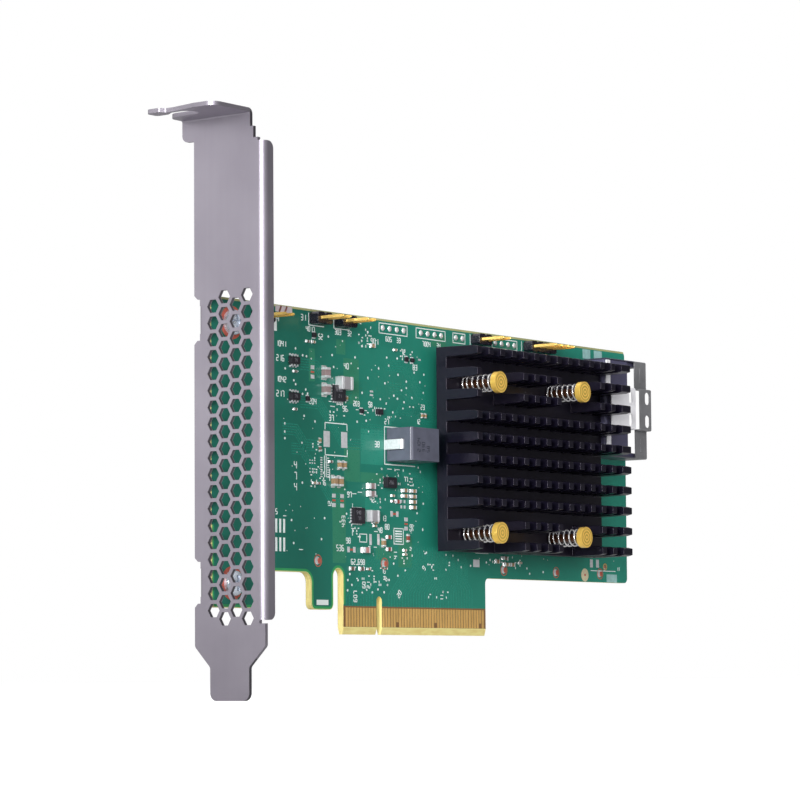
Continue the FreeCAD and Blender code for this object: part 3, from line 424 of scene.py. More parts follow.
for name, look in finishes.items():
    simpleFinish(name, **look)
for name, (colour, vary) in ceramics.items():
    simpleFinish(name + "Ceramic", colour, 0.42, vary=vary, broad=900.0, bump=0.1)
makeBoardFinish()
makeSheetFinish()
makeShellFinish()
makeBrassFinish()
print("finishes made,", len(looks))


def gather(x, y, z):
    return np.stack(np.broadcast_arrays(x, y, z), -1)


def roundTurns(sides):
    return np.arange(sides) * 2 * math.pi / sides


def meshFrom(name, points, faceSets):
    # Puts whole arrays into a mesh: points in millimetres, faces in sets of equal corners.
    points = np.asarray(points, float).reshape(-1, 3) * mm
    corners = np.concatenate([faces.ravel() for faces in faceSets])
    sizes = np.concatenate([np.full(len(faces), faces.shape[1]) for faces in faceSets])
    mesh = bpy.data.meshes.new(name)
    mesh.vertices.add(len(points))
    mesh.vertices.foreach_set("co", points.ravel())
    mesh.loops.add(len(corners))
    mesh.loops.foreach_set("vertex_index", corners)
    mesh.polygons.add(len(sizes))
    mesh.polygons.foreach_set("loop_start", np.concatenate([[0], np.cumsum(sizes)[:-1]]))
    mesh.update(calc_edges=True)
    return mesh


def cleanMesh(mesh, merge, flatten=False):
    # Joins corners that meet. Then it joins the faces that lie in one plane, or else drops
    # what has no area and turns the faces outwards.
    work = bmesh.new()
    work.from_mesh(mesh)
    bmesh.ops.remove_doubles(work, verts=work.verts, dist=merge)
    if flatten:
        bmesh.ops.dissolve_limit(work, angle_limit=math.radians(1.0), verts=work.verts,
                                 edges=work.edges)
    else:
        bmesh.ops.dissolve_degenerate(work, edges=work.edges, dist=merge)
        bmesh.ops.recalc_face_normals(work, faces=work.faces)
    work.to_mesh(mesh)
    work.free()


def settleMesh(name, mesh, look, smoothAngle, merge=1e-7):
    cleanMesh(mesh, merge)
    mesh.shade_smooth()
    mesh.set_sharp_from_angle(angle=math.radians(smoothAngle))
    mesh.materials.clear()
    mesh.materials.append(looks[look])
    piece = addItem(name, mesh)
    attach(piece, "root")
    return piece


def addPiece(name, shape, look, smoothAngle=32.0):
    return settleMesh(name, meshFrom(name, *shape), look, smoothAngle)


def gridFaces(rows, columns, copies=1, wrapRows=False):
    # Quads of a grid whose points run along the columns first and close on themselves there;
    # copies repeats the grid.
    lastRow = rows if wrapRows else rows - 1
    row, column = np.meshgrid(np.arange(lastRow), np.arange(columns), indexing="ij")
    nextRow = (row + 1) % rows
    nextColumn = (column + 1) % columns
    quads = np.stack([row * columns + column, row * columns + nextColumn,
                      nextRow * columns + nextColumn, nextRow * columns + column], -1)
    shift = np.arange(copies).reshape(-1, 1, 1) * rows * columns
    return (quads.reshape(1, -1, 4) + shift).reshape(-1, 4)


def ringFaces(rows, columns, copies=1):
    # The grid's quads, and one many-sided face on the first and on the last ring of each copy.
    ring = np.arange(columns)
    shift = np.arange(copies).reshape(-1, 1) * rows * columns
    ends = np.concatenate([shift + ring[::-1], shift + (rows - 1) * columns + ring])
    return [gridFaces(rows, columns, copies), ends]


def bevelledBlocks(boxes, bevel):
    # Each block is three eight-cornered rings, stacked from the board to the top: two at full
    # size and one drawn in by the bevel. A ring's corner is the half size, cut back by the
    # bevel along X or along Z in turn. Boxes are rows of x0, x1, yTop, yBottom, z0, z1.
    x0, x1, top, foot, z0, z1 = np.asarray(boxes, float).reshape(-1, 6).T[..., None, None]
    signX = np.array([1, 1, 1, -1, -1, -1, -1, 1])
    signZ = np.array([-1, 1, 1, 1, 1, -1, -1, -1])
    cutX = np.array([0, 0, 1, 1, 0, 0, 1, 1]) * bevel
    cutZ = bevel - cutX
    inset = np.array([[0.0], [0.0], [bevel]])
    rise = np.array([[0.0], [1.0], [1.0]])
    shoulder = np.array([[0.0], [bevel], [0.0]]) * np.sign(foot - top)
    points = gather((x0 + x1) / 2 + signX * ((x1 - x0) / 2 - inset - cutX),
                    foot + (top - foot) * rise + shoulder,
                    (z0 + z1) / 2 + signZ * ((z1 - z0) / 2 - inset - cutZ))
    return points, ringFaces(3, 8, len(points))


def flatBars(bars, thickness, surfaceY, outward):
    # Each bar is a thin slab on the board: its length and width turned by its angle in the
    # board's plane. Rows are x, z, length, width, angle in degrees.
    x, z, length, width, angle = np.asarray(bars, float).reshape(-1, 5).T[..., None, None]
    turn = np.radians(angle)
    along = np.array([-0.5, 0.5, 0.5, -0.5]) * length
    across = np.array([-0.5, -0.5, 0.5, 0.5]) * width
    points = gather(x + along * np.cos(turn) - across * np.sin(turn),
                    surfaceY + outward * thickness * np.array([[-0.5], [1.0]]),
                    z + along * np.sin(turn) + across * np.cos(turn))
    return points, ringFaces(2, 4, len(points))


def turnedShapes(profile, places, sides):
    # A profile of (y, radius) carried round an axis along Y through each place: the point is
    # the place plus radius times cosine and sine of the turn.
    level, radius = np.asarray(profile, float).T[..., None]
    x, z = np.asarray(places, float).reshape(-1, 2).T[..., None, None]
    turn = roundTurns(sides)
    points = gather(x + radius * np.cos(turn), level, z + radius * np.sin(turn))
    return points, ringFaces(len(profile), sides, len(points))


def domesAt(places, radius, height, surfaceY, outward, sides, steps):
    # A dome's ring lies at radius times the cosine of the rise, its level at height times
    # the sine of it.
    rise = np.linspace(0, math.pi / 2 * 0.97, steps)
    profile = [(surfaceY - outward * 0.01, radius)]
    profile += [(surfaceY + outward * height * math.sin(a), radius * math.cos(a)) for a in rise]
    return turnedShapes(profile, places, sides)


def ringsAt(places, inner, outer, surfaceY, outward, sides=28):
    # A flat ring: a four-cornered section carried round each place.
    low = surfaceY - outward * 0.005
    high = surfaceY + outward * 0.03
    points = turnedShapes([(low, inner), (high, inner), (high, outer), (low, outer)], places,
                          sides)[0]
    return points, [gridFaces(4, sides, len(points), True)]


def tubeAlong(path, reference, radius, sides):
    # A round section carried along a path: the path's point plus the radius times cosine of
    # the reference and sine of the vector square to both it and the path.
    tangent = unit(np.gradient(path, axis=0))
    across = unit(np.cross(tangent, reference))
    level = np.cross(across, tangent)
    turn = roundTurns(sides).reshape(1, -1, 1)
    points = path[:, None] + radius * (np.cos(turn) * level[:, None]
                                       + np.sin(turn) * across[:, None])
    return points, ringFaces(len(path), sides)


def stripsAlong(paths, width, surfaceY, outward, thickness):
    # Flat strips on the board: a rectangle carried along each line of (x, z) points, mitred
    # at every corner by the mean of the two directions there. All lines have as many points;
    # the width is one for all, or one for each line.
    paths = np.asarray(paths, float)
    paths = paths.reshape(-1, *paths.shape[-2:])
    step = unit(np.diff(paths, axis=1))
    after = np.concatenate([step, step[:, -1:]], 1)
    mean = unit(np.concatenate([step[:, :1], step], 1) + after)
    normal = np.stack([-mean[..., 1], mean[..., 0]], -1)
    squeeze = np.abs((mean * after).sum(2, keepdims=True))
    offset = normal * (width / 2) / np.maximum(squeeze, 0.3)
    low = surfaceY - outward * thickness * 0.5
    high = surfaceY + outward * thickness
    points = np.stack([gather(side[..., 0], level, side[..., 1]) for side, level in (
        (paths + offset, low), (paths + offset, high), (paths - offset, high),
        (paths - offset, low))], 2)
    return points, ringFaces(paths.shape[1], 4, len(paths))


def roundedLine(corners, steps=7):
    # Corners of (x, z, radius) joined by straight runs and by arcs tangent to both sides.
    parts = [np.array([corners[0][:2]])]
    for before, (x, z, radius), after in zip(corners, corners[1:], corners[2:]):
        here = np.array([x, z])
        back = unit(before[:2] - here)
        forth = unit(after[:2] - here)
        half = math.acos(np.clip(back @ forth, -1, 1)) / 2
        centre = here + unit(back + forth) * radius / math.sin(half)
        start = here + back * radius / math.tan(half) - centre
        end = here + forth * radius / math.tan(half) - centre
        share = np.linspace(0, 1, steps).reshape(-1, 1)
        parts.append(centre + unit(start * (1 - share) + end * share) * radius)
    parts.append(np.array([corners[-1][:2]]))
    return np.concatenate(parts)


def joinShapes(*shapes):
    points = [np.asarray(shape[0]).reshape(-1, 3) for shape in shapes]
    shifts = np.cumsum([0] + [len(part) for part in points])
    faceSets = [faces + shift for shape, shift in zip(shapes, shifts) for faces in shape[1]]
    return np.concatenate(points), faceSets


def prism(outline, z0, z1):
    # A closed outline of (x, y) points carried up from z0 to z1.
    x, y = np.asarray(outline, float).T
    return gather(x, y, np.array([[z0], [z1]])), ringFaces(2, len(x))


def onBoard(x0, x1, z0, z1, height):
    return x0, x1, faceY - height, faceY, z0, z1


def platesAt(rows, raised, bevel=0.02, sunk=0.0):
    # Low blocks on the component side; rows are middle x, middle z, width, height.
    return bevelledBlocks([(x - w / 2, x + w / 2, faceY - raised, faceY + sunk,
                            z - h / 2, z + h / 2) for x, z, w, h in rows], bevel)


def reshaped(mesh, steps):
    # The mesh after each tool in turn is joined to it or cut from it.
    items = [addItem("shaping", mesh)]
    for operation, (points, faces) in steps:
        toolMesh = meshFrom("shapingTool", points, faces)
        cleanMesh(toolMesh, 1e-7)
        items.append(addItem("shapingTool", toolMesh))
        step = items[0].modifiers.new(operation, "BOOLEAN")
        step.operation = operation
        step.solver = "EXACT"
        step.object = items[-1]
    bpy.context.view_layer.update()
    seen = items[0].evaluated_get(bpy.context.evaluated_depsgraph_get())
    shaped = bpy.data.meshes.new_from_object(seen)
    for item in items:
        bpy.data.objects.remove(item)
    return shaped


def softenedCopy(node, name, look, width, segments=2, angle=30.0, shift=(0, 0, 0),
                 stretch=0.0, steps=()):
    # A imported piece's own shape with its sharp edges eased, standing in for it. It can be
    # made longer along X at both ends, shifted, and joined to or cut by a few tools first.
    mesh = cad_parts[node].data.copy()
    low, high = span(node)
    middle = Matrix.Translation(((low[0] + high[0]) / 2 * mm, 0, 0))
    factor = 1.0 + 2 * stretch / (high[0] - low[0])
    mesh.transform(Matrix.Translation([part * mm for part in shift]) @ middle
                   @ Matrix.Scale(factor, 4, (1, 0, 0)) @ middle.inverted())
    cleanMesh(mesh, 1e-6, True)
    if steps:
        mesh = reshaped(mesh, steps)
        cleanMesh(mesh, 1e-6, True)
    if "custom_normal" in mesh.attributes:
        mesh.attributes.remove(mesh.attributes["custom_normal"])
    piece = settleMesh(name, mesh, look, 40.0, 1e-6)
    ease = piece.modifiers.new("ease", "BEVEL")
    ease.width = width * mm
    ease.segments = segments
    ease.limit_method = "ANGLE"
    ease.angle_limit = math.radians(angle)
    ease.use_clamp_overlap = True
    ease.harden_normals = True
    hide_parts(node)


def finishNode(node, look):
    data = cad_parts[node].data
    if len(data.materials):
        for index in range(len(data.materials)):
            data.materials[index] = looks[look]
    else:
        data.materials.append(looks[look])


tab = {"root": -3.9, "slotWidth": 4.42, "slotOffset": 7.0, "outerX": -57.2, "waist": 1.15,
       "hook": 1.3, "prong": 1.2, "innerProng": 2.6}


def tabSteps():
    # The tab's open slot is filled and cut again by one outline: a slot with a round root, an
    # inner prong with a full corner, and an outer prong with a waist and a hooked end.
    end = span("slot_bracket")[0][0]
    far, top = span("slot_bracket")[1][1:]
    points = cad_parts["slot_bracket"].data.vertices
    bottom = min(point.co.z for point in points if point.co.x < (end + 3) * mm) / mm
    root, width, inner = tab["root"], tab["slotWidth"], tab["innerProng"]
    near = tab["outerX"] - tab["slotOffset"] + width / 2
    away = near - width
    waist = end + tab["waist"]
    hook = away + tab["hook"]
    filler = [(end, root + 0.3), (near + 0.3, root + 0.3), (near + 0.3, far), (end, far)]
    outline = roundedLine([
        (end - 1.0, far + 1.0, 0), (end - 1.0, root - 3.0, 0.01), (end, root - 3.0, 0.01),
        (waist, root + 3.2, 2.0), (waist, root + 5.3, 0.5), (end, root + 6.1, 0.5),
        (end, far, tab["prong"]), (hook, far, tab["prong"] * 0.7), (hook, root + 6.6, 0.8),
        (away, root + 4.6, 0.8), (away, root, width * 0.4999), (near, root, width * 0.4999),
        (near, far, inner), (near + 2 * inner, far, 0.01), (near + 2 * inner, far + 1.0, 0)], 9)
    return [("UNION", prism(filler, bottom, top)),
            ("DIFFERENCE", prism(outline, bottom - 1, top + 1))]


bpy.context.scene.view_settings.view_transform = "Standard"
makeCamera()
makeWorld()
makeFloor()
for name, lamp in studio["lamps"].items():
    makeLamp(name, *lamp)
print("stage set")

for node, look in (("circuit_board", "solderMask"), ("edge_contacts", "edgeGold"),
                   ("controller_substrate", "laminateGreen"), ("controller_lid", "lidNickel"),
                   ("thermal_pad", "thermalGrey"), ("logic_ic_leads", "brightTin")):
    finishNode(node, look)
softenedCopy("slot_bracket", "slotBracket", "satinSheet", 0.09,
             steps=tabSteps())
softenedCopy("heat_sink", "heatSink", "blackAnodised", 0.09)
for part, look, slotName, width in (("contacts", "goldPlate", "socket_steel", 0.02),
                                    ("body", "socketPlastic", "socket_plastic", 0.1),
                                    ("shell", "shellSheet", "socket_steel", 0.05)):
    softenedCopy("cable_socket_" + part, "socket" + part.title(), look, width,
                 shift=seat["socket"])
softenedCopy("power_choke_core", "chokeCore", "ferriteBlock", 0.16,
             shift=seat["choke"])
softenedCopy("power_choke_strap", "chokeStrap", "brightTin", 0.08,
             shift=seat["choke"], stretch=seat["strapProud"])
for place in headers:
    softenedCopy("header_" + place + "_base", place + "HeaderBase", "headerPlastic",
                 0.08)
    softenedCopy("header_" + place + "_pins", place + "HeaderPins", "pinGold",
                 0.05)
for node in ("buck_driver_ic", "logic_ic_upper", "logic_ic_lower"):
    softenedCopy(node, node.replace("_ic", "Chip").replace("_", ""), "chipEpoxy",
                 0.07)
for number in range(1, 5):
    softenedCopy("push_pin_%d" % number, "pushPin%d" % number, "turnedBrass",
                 0.2, 3, 50.0)
print("packed pieces finished")

coil = {"turns": 6.5, "wire": 0.21, "deadTurns": 0.8, "deadPitch": 0.46, "steps": 30, "sides": 10}


def makeSprings():
    # The wire's middle runs round each pin at the coil's radius while its height climbs: the
    # pitch is close for the dead turns at both ends and even between them.
    turn = np.linspace(0, coil["turns"], int(coil["turns"] * coil["steps"]))
    openTurns = coil["turns"] - 2 * coil["deadTurns"]
    opened = np.clip(turn - coil["deadTurns"], 0, openTurns)
    angle = turn * 2 * math.pi
    outwards = gather(np.cos(angle), 0.0, np.sin(angle))
    for number, (x, z) in enumerate(pinPlaces, 1):
        low, high = span("push_pin_spring_%d" % number)
        rise = high[1] - low[1] - 2 * coil["wire"]
        openPitch = (rise - 2 * coil["deadTurns"] * coil["deadPitch"]) / openTurns
        climb = (turn - opened) * coil["deadPitch"] + opened * openPitch
        path = outwards * ((high[0] - low[0]) / 2 - coil["wire"]) + np.array([x, 0, z])
        path[:, 1] = high[1] - coil["wire"] - climb
        piece = addPiece("pushPinSpring%d" % number,
                         tubeAlong(path, outwards, coil["wire"], coil["sides"]), "springWire",
                         60.0)
        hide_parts("push_pin_spring_%d" % number)


screw = {"head": 2.6, "headHeight": 1.75, "shaft": 1.36, "thread": 0.09, "pitch": 0.5,
         "recess": 0.95, "arm": 0.38, "reach": 1.5, "sides": 64, "point": (0.1, 0.25, 0.45),
         "crown": 0.62, "rows": 40, "crownRows": 16, "sink": 0.02}


def makeScrews():
    # A turned profile whose radius also follows the thread, shaft plus a wave of the height
    # and the turn, and whose top sinks where the point lies within either arm of the cross.
    rise = np.linspace(0, 1, screw["crownRows"] + 1)[1:] * math.pi / 2
    turn = roundTurns(screw["sides"])
    seatY = faceY - screw["sink"]
    for name in ("upper", "lower"):
        low, high = span("bracket_screw_" + name)
        crownY = low[1] + screw["headHeight"] * (1 - np.cos(rise)) * screw["crown"]
        shaftY = np.linspace(seatY, high[1], screw["rows"])
        shaftRadius = np.full(screw["rows"], screw["shaft"])
        shaftRadius[-3:] -= screw["point"]
        rows = np.concatenate([crownY, [seatY], shaftY])[:, None]
        radius = np.concatenate([screw["head"] * np.sin(rise), [screw["head"]], shaftRadius])
        wave = np.sin(2 * math.pi * rows / screw["pitch"] - turn) * (rows > faceY)
        x = (radius[:, None] + screw["thread"] * wave) * np.cos(turn)
        z = (radius[:, None] + screw["thread"] * wave) * np.sin(turn)
        arm = np.minimum(np.abs(x), np.abs(z))
        reach = np.maximum(np.abs(x), np.abs(z))
        inCross = (np.clip((screw["arm"] - arm) / 0.1 + 0.5, 0, 1)
                   * np.clip((screw["reach"] - reach) / 0.2 + 0.5, 0, 1))
        y = rows + inCross * screw["recess"] * (rows < faceY - 0.1)
        middle = (low + high) / 2
        points = gather(middle[0] + x, np.maximum(y, low[1]), middle[2] + z)
        piece = addPiece(name + "BracketScrew", (points, ringFaces(len(rows), screw["sides"])),
                         "screwPlate", 40.0)
        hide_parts("bracket_screw_" + name)


makeSprings()
makeScrews()
print("springs and screws made")

strokesOfDigit = {"0": "abcdef", "1": "bc", "2": "abged", "3": "abgcd", "4": "fgbc",
                  "5": "afgcd", "6": "afgedc", "7": "abc", "8": "abcdefg", "9": "abcdfg"}
strokePlace = {"a": (0.5, 1.0, 0), "b": (1.0, 0.75, 90), "c": (1.0, 0.25, 90), "d": (0.5, 0.0, 0),
               "e": (0.0, 0.25, 90), "f": (0.0, 0.75, 90), "g": (0.5, 0.5, 0)}


figureCell = {"wide": 0.5, "pitch": 0.78, "upright": 0.5, "level": 0.45}


def numberBars(text, x, z, height, angle, stroke=0.2):
    # Every figure is up to seven strokes on a cell half as wide as it is tall; the strokes'
    # middles are turned with the line of text.
    turn = math.radians(angle)
    bars = []
    for place, figure in enumerate(text):
        for letter in strokesOfDigit[figure]:
            across, up, lie = strokePlace[letter]
            alongText = (across * figureCell["wide"] + place * figureCell["pitch"]) * height
            length = height * figureCell["upright" if lie else "level"]
            bars.append((x + alongText * math.cos(turn) - up * height * math.sin(turn),
                         z + alongText * math.sin(turn) + up * height * math.cos(turn),
                         length, stroke, lie + angle))
    return bars


# length, width and height of the ceramic parts
chipSizes = {"large": (2.2, 1.7, 1.3), "medium": (2.0, 1.25, 1.05), "slim": (1.6, 0.8, 0.8),
             "small": (1.0, 0.55, 0.5), "flat": (1.6, 0.85, 0.45)}
# their size, the way they lie, the body's finish, and the middles (x, z) of each
chipParts = {
    ("large", "z", "grey"): [(-18.9, 55.6), (-18.9, 52.0)],
    ("medium", "x", "grey"): [(-3.15, 32.05), (-3.15, 30.4)],
    ("medium", "x", "pink"): [(-5.25, 18.15)],
    ("medium", "z", "tan"): [(-16.0, 32.55), (-14.05, 32.55)],
    ("slim", "x", "brown"): [(46.9, 17.7)],
    ("slim", "x", "tan"): [(9.05, 31.6), (9.05, 30.4), (12.15, 31.6), (12.15, 30.4), (12.15, 29.2),
        (12.15, 28.0), (-1.7, 24.4), (47.4, 16.3)],
    ("slim", "z", "tan"): [(-14.0, 36.15), (-12.35, 36.15), (1.3, 19.9)],
    ("small", "x", "brown"): [(-16.9, 36.7), (4.9, 29.1), (-28.9, 55.2), (-28.9, 47.2),
        (-24.6, 61.9), (-21.2, 31.9)],
    ("small", "x", "red"): [(-7.3, 24.3)],
    ("small", "x", "tan"): [(-1.6, 23.5), (9.15, 18.5), (9.15, 17.6), (-3.9, 14.1), (53.2, 16.8),
        (4.9, 30.3), (-22.6, 61.9), (6.2, 62.4), (-22.6, 31.9)],
    ("small", "z", "brown"): [(-20.6, 39.3)],
    ("small", "z", "tan"): [(-11.3, 50.6), (15.9, 48.5), (17.1, 48.5), (-0.3, 26.3),
        (-20.6, 41.0)],
    ("flat", "x", "brown"): [(-9.7, 14.1), (-6.3, 14.1)],
    ("flat", "x", "red"): [(6.75, 29.1), (3.4, 21.2), (3.4, 18.6)],
    ("flat", "x", "tan"): [(44.2, 16.9), (50.2, 16.3), (-1.9, 62.7)],
    ("flat", "z", "red"): [(10.4, 21.2)],
}
chipEnd = {"share": 0.22, "proud": 0.03, "out": 0.35, "up": 0.7, "wide": 0.96}


def chipBoxes(rows, surfaceY, outward):
    # Each part is a body between two plated ends; an end is a share of the length and stands
    # a little proud of the body on every free side.
    bodies = []
    ends = []
    for x, z, way, length, width, height, look in rows:
        top = surfaceY + outward * height
        inner = length * (0.5 - chipEnd["share"])
        for start, stop, inset in ((-length / 2, -inner, 0.0), (inner, length / 2, 0.0),
                                   (-inner, inner, chipEnd["proud"])):
            along = (start, stop)
            across = (inset - width / 2, width / 2 - inset)
            (x0, x1), (z0, z1) = (along, across) if way == "x" else (across, along)
            box = (x + x0, x + x1, top - outward * inset, surfaceY, z + z0, z + z1)
            if inset:
                bodies.append((look, box))
            else:
                ends.append(box)
    return bodies, ends


def solderFillets(rows, surfaceY, outward):
    # At each end a fillet climbs the plating: its section is a quarter hollow, the foot a
    # share of the height out and the rise a share of it up, carried across the part's width.
    bend = np.linspace(0, math.pi / 2, 5)
    points = []
    for x, z, way, length, width, height, look in rows:
        along = np.concatenate([[-0.05], chipEnd["out"] * height * (1 - np.sin(bend))])
        level = np.concatenate([[-0.02], chipEnd["up"] * height * (1 - np.cos(bend))])
        wide = np.array([[-0.5], [0.5]]) * width * chipEnd["wide"]
        for side in (-1, 1):
            run = side * (length / 2 + along)
            step = (run, wide) if way == "x" else (wide, run)
            points.append(gather(x + step[0], surfaceY + outward * level, z + step[1]))
    return np.array(points), ringFaces(2, 6, len(points))


def makeChipParts():
    front = [(x, z, way, *chipSizes[size], look)
             for (size, way, look), places in chipParts.items() for x, z in places]
    low, high = span("capacitors_rear")
    rear = [(x, z, "z", *chipSizes["small"], "tan")
            for z in np.linspace(low[2] + 0.5, high[2] - 0.5, 3)
            for x in np.linspace(low[0] + 0.275, high[0] - 0.275, 4)]
    frontBodies, frontEnds = chipBoxes(front, faceY, -1)
    rearBodies, rearEnds = chipBoxes(rear, rearY, 1)
    for look in ceramics:
        boxes = [box for kind, box in frontBodies + rearBodies if kind == look]
        piece = addPiece(look + "CeramicBodies", bevelledBlocks(boxes, 0.05), look + "Ceramic")
        if look == "tan":
            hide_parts("capacitors_supply", "capacitors_core", "capacitors_rear")
    addPiece("chipPartEnds", bevelledBlocks(frontEnds + rearEnds, 0.07), "brightTin")
    addPiece("chipPartSolder", joinShapes(solderFillets(front, faceY, -1),
                                          solderFillets(rear, rearY, 1)),
             "solder", 50.0)


smallChips = {
    # x0, x1, z0, z1 and height of the small moulded parts
    "bodies": [(-25.2, -24.2, 49.2, 50.2, 0.5), (-23.0, -21.9, 62.9, 63.9, 0.55),
               (-6.55, -5.45, 47.75, 48.65, 0.45), (-0.9, 1.1, 47.8, 49.0, 0.7),
               (9.7, 10.8, 60.1, 61.1, 0.5), (11.9, 12.9, 60.1, 61.0, 0.5)],
    # the larger ones: middle x, middle z, length, width and height
    "moulded": {"regulator_ic": (-7.8, 25.5, 4.0, 3.4, 0.9),
                "flash_memory_ic": (3.6, 33.1, 3.6, 2.3, 1.1)},
    # inductors: the same, and how much of each end is plated
    "inductors": {"chip_inductor_upper": (-12.9, 53.7, 4.0, 2.8, 1.9, 0.95),
                  "chip_inductor_lower": (-3.1, 25.55, 3.2, 2.55, 1.6, 0.75)},
    # plain numbers on the choke: text and distance along it, from a start that is measured
    # from its right end and its foot
    "chokeMarks": [("2104", 1.6), ("330", 3.3), ("58", 5.0)],
    # plain numbers on the chips' tops: chip, text, x and z of its start from the middle
    "marks": [("buck_driver_ic", "8406", -1.35, 0.35), ("buck_driver_ic", "21", -0.6, -1.0),
              ("regulator_ic", "540", -1.1, 0.3), ("regulator_ic", "77", -0.6, -1.0),
              ("flash_memory_ic", "256", -1.0, -0.35), ("logic_ic_upper", "74", -0.6, -0.35),
              ("logic_ic_lower", "74", -0.6, -0.35)],
    "markHeight": 0.7, "markStroke": 0.1, "chokeHeight": 1.0, "chokeStroke": 0.14,
    "chokeStart": (-9.0, 2.6), "waist": 0.05,
}


def chipSpan(node):
    # x0, x1, z0, z1 and height of a moulded part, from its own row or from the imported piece.
    if node in smallChips["moulded"]:
        x, z, length, width, height = smallChips["moulded"][node]
        return x - length / 2, x + length / 2, z - width / 2, z + width / 2, height
    low, high = span(node)
    return low[0], high[0], low[2], high[2], faceY - low[1]


# the feet's heights, their half widths, and how far they stand out and reach under
feet = {
    "small": {"places": (0.15, 0.5, 0.85), "height": 0.16, "half": 0.12, "out": 0.3, "in": 0.02},
    "flat": {"places": np.linspace(0.14, 0.86, 5), "height": 0.22, "half": 0.2, "out": 0.28,
             "in": 0.12, "farHalf": 0.17, "farOut": 0.14},
    "tail": {"count": 18, "half": 0.16, "height": 0.14, "out": 1.1, "in": 0.1, "rise": 1.5,
             "riser": 0.14, "margin": 0.18},
}


def footBoxes():
    # Three feet a side on the small parts, five a side on the flat ones, and the socket's
    # tails: a foot on the board and a riser behind it.
    boxes = []
    small, flat, tail = feet["small"], feet["flat"], feet["tail"]
    for x0, x1, z0, z1, height in smallChips["bodies"]:
        for place in small["places"]:
            sides = [x0 + (x1 - x0) * place + way * small["half"] for way in (-1, 1)]
            boxes += [onBoard(*sides, z0 - small["out"], z0 + small["in"], small["height"]),
                      onBoard(*sides, z1 - small["in"], z1 + small["out"], small["height"])]
    for node in ("buck_driver_ic", "regulator_ic"):
        x0, x1, z0, z1, height = chipSpan(node)
        for place in flat["places"]:
            x = x0 + (x1 - x0) * place
            z = z0 + (z1 - z0) * place
            half, far, inner = flat["half"], flat["farHalf"], flat["in"]
            for box in ((x0 - flat["out"], x0 + inner, z - half, z + half),
                        (x1 - inner, x1 + flat["farOut"], z - far, z + far),
                        (x - half, x + half, z0 - flat["out"], z0 + inner),
                        (x - far, x + far, z1 - inner, z1 + flat["farOut"])):
                boxes.append(onBoard(*box, flat["height"]))
    low, high = span("cable_socket_contacts")
    rear = span("cable_socket_body")[0][0] + seat["socket"][0]
    for place in np.linspace(low[2] + tail["margin"], high[2] - tail["margin"], tail["count"]):
        sides = [place + seat["socket"][2] + way * tail["half"] for way in (-1, 1)]
        boxes += [onBoard(rear - tail["out"], rear + tail["in"], *sides, tail["height"]),
                  (rear - tail["riser"], rear + tail["in"], faceY - tail["rise"], faceY - 0.05,
                   *sides)]
    return boxes


def makeSmallChips():
    addPiece("smallMouldedChips", bevelledBlocks([onBoard(*row) for row in smallChips["bodies"]],
                                                 0.06), "chipEpoxy")
    addPiece("solderedFeet", bevelledBlocks(footBoxes(), 0.04), "brightTin")
    middles = []
    ends = []
    waist = smallChips["waist"]
    for x, z, length, width, height, plated in smallChips["inductors"].values():
        x0, x1, z0, z1 = x - length / 2, x + length / 2, z - width / 2, z + width / 2
        middles.append(onBoard(x0 + plated, x1 - plated, z0 + waist, z1 - waist, height - waist))
        ends += [onBoard(x0, x0 + plated, z0, z1, height), onBoard(x1 - plated, x1, z0, z1, height)]
    piece = addPiece("chipInductorBodies", bevelledBlocks(middles, 0.1), "greyPowder")
    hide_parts(*smallChips["inductors"])
    addPiece("chipInductorEnds", bevelledBlocks(ends, 0.14), "brightTin")
    for node in smallChips["moulded"]:
        piece = addPiece(node.replace("_ic", "Chip").replace("_", ""),
                         bevelledBlocks(onBoard(*chipSpan(node)), 0.1), "chipEpoxy")
        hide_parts(node)
    marks = []
    for node, text, aside, above in smallChips["marks"]:
        x0, x1, z0, z1, height = chipSpan(node)
        bars = numberBars(text, (x0 + x1) / 2 + aside, (z0 + z1) / 2 + above,
                          smallChips["markHeight"], 0, smallChips["markStroke"])
        marks.append(flatBars(bars, 0.01, faceY - height, -1))
    addPiece("chipMarks", joinShapes(*marks), "chipMark", 20.0)
    low, high = span("power_choke_core")
    startX, startZ = smallChips["chokeStart"]
    bars = []
    for text, aside in smallChips["chokeMarks"]:
        bars += numberBars(text, high[0] + startX + aside, low[2] + startZ,
                           smallChips["chokeHeight"], 90, smallChips["chokeStroke"])
    addPiece("chokeMarks", flatBars(bars, 0.012, low[1], -1), "chokeMark", 20.0)


makeChipParts()
makeSmallChips()
print("small parts made")

# The board's outline: the tongue's left and right side, the slot and hook beside it, the
# left leg's width, the shoulders' level, and where the contacts' bare zone ends.
edge = {"tongue": -12.6, "slotTop": 14.0, "slot": -16.1, "foot": 5.2, "hook": -23.5,
        "shoulder": 13.0, "leg": 16.5, "far": 39.6, "start": 6.4, "endZ": 22.0,
        "slotRadius": 1.75, "inner": 2.2, "outer": 1.3, "farInner": 1.2}


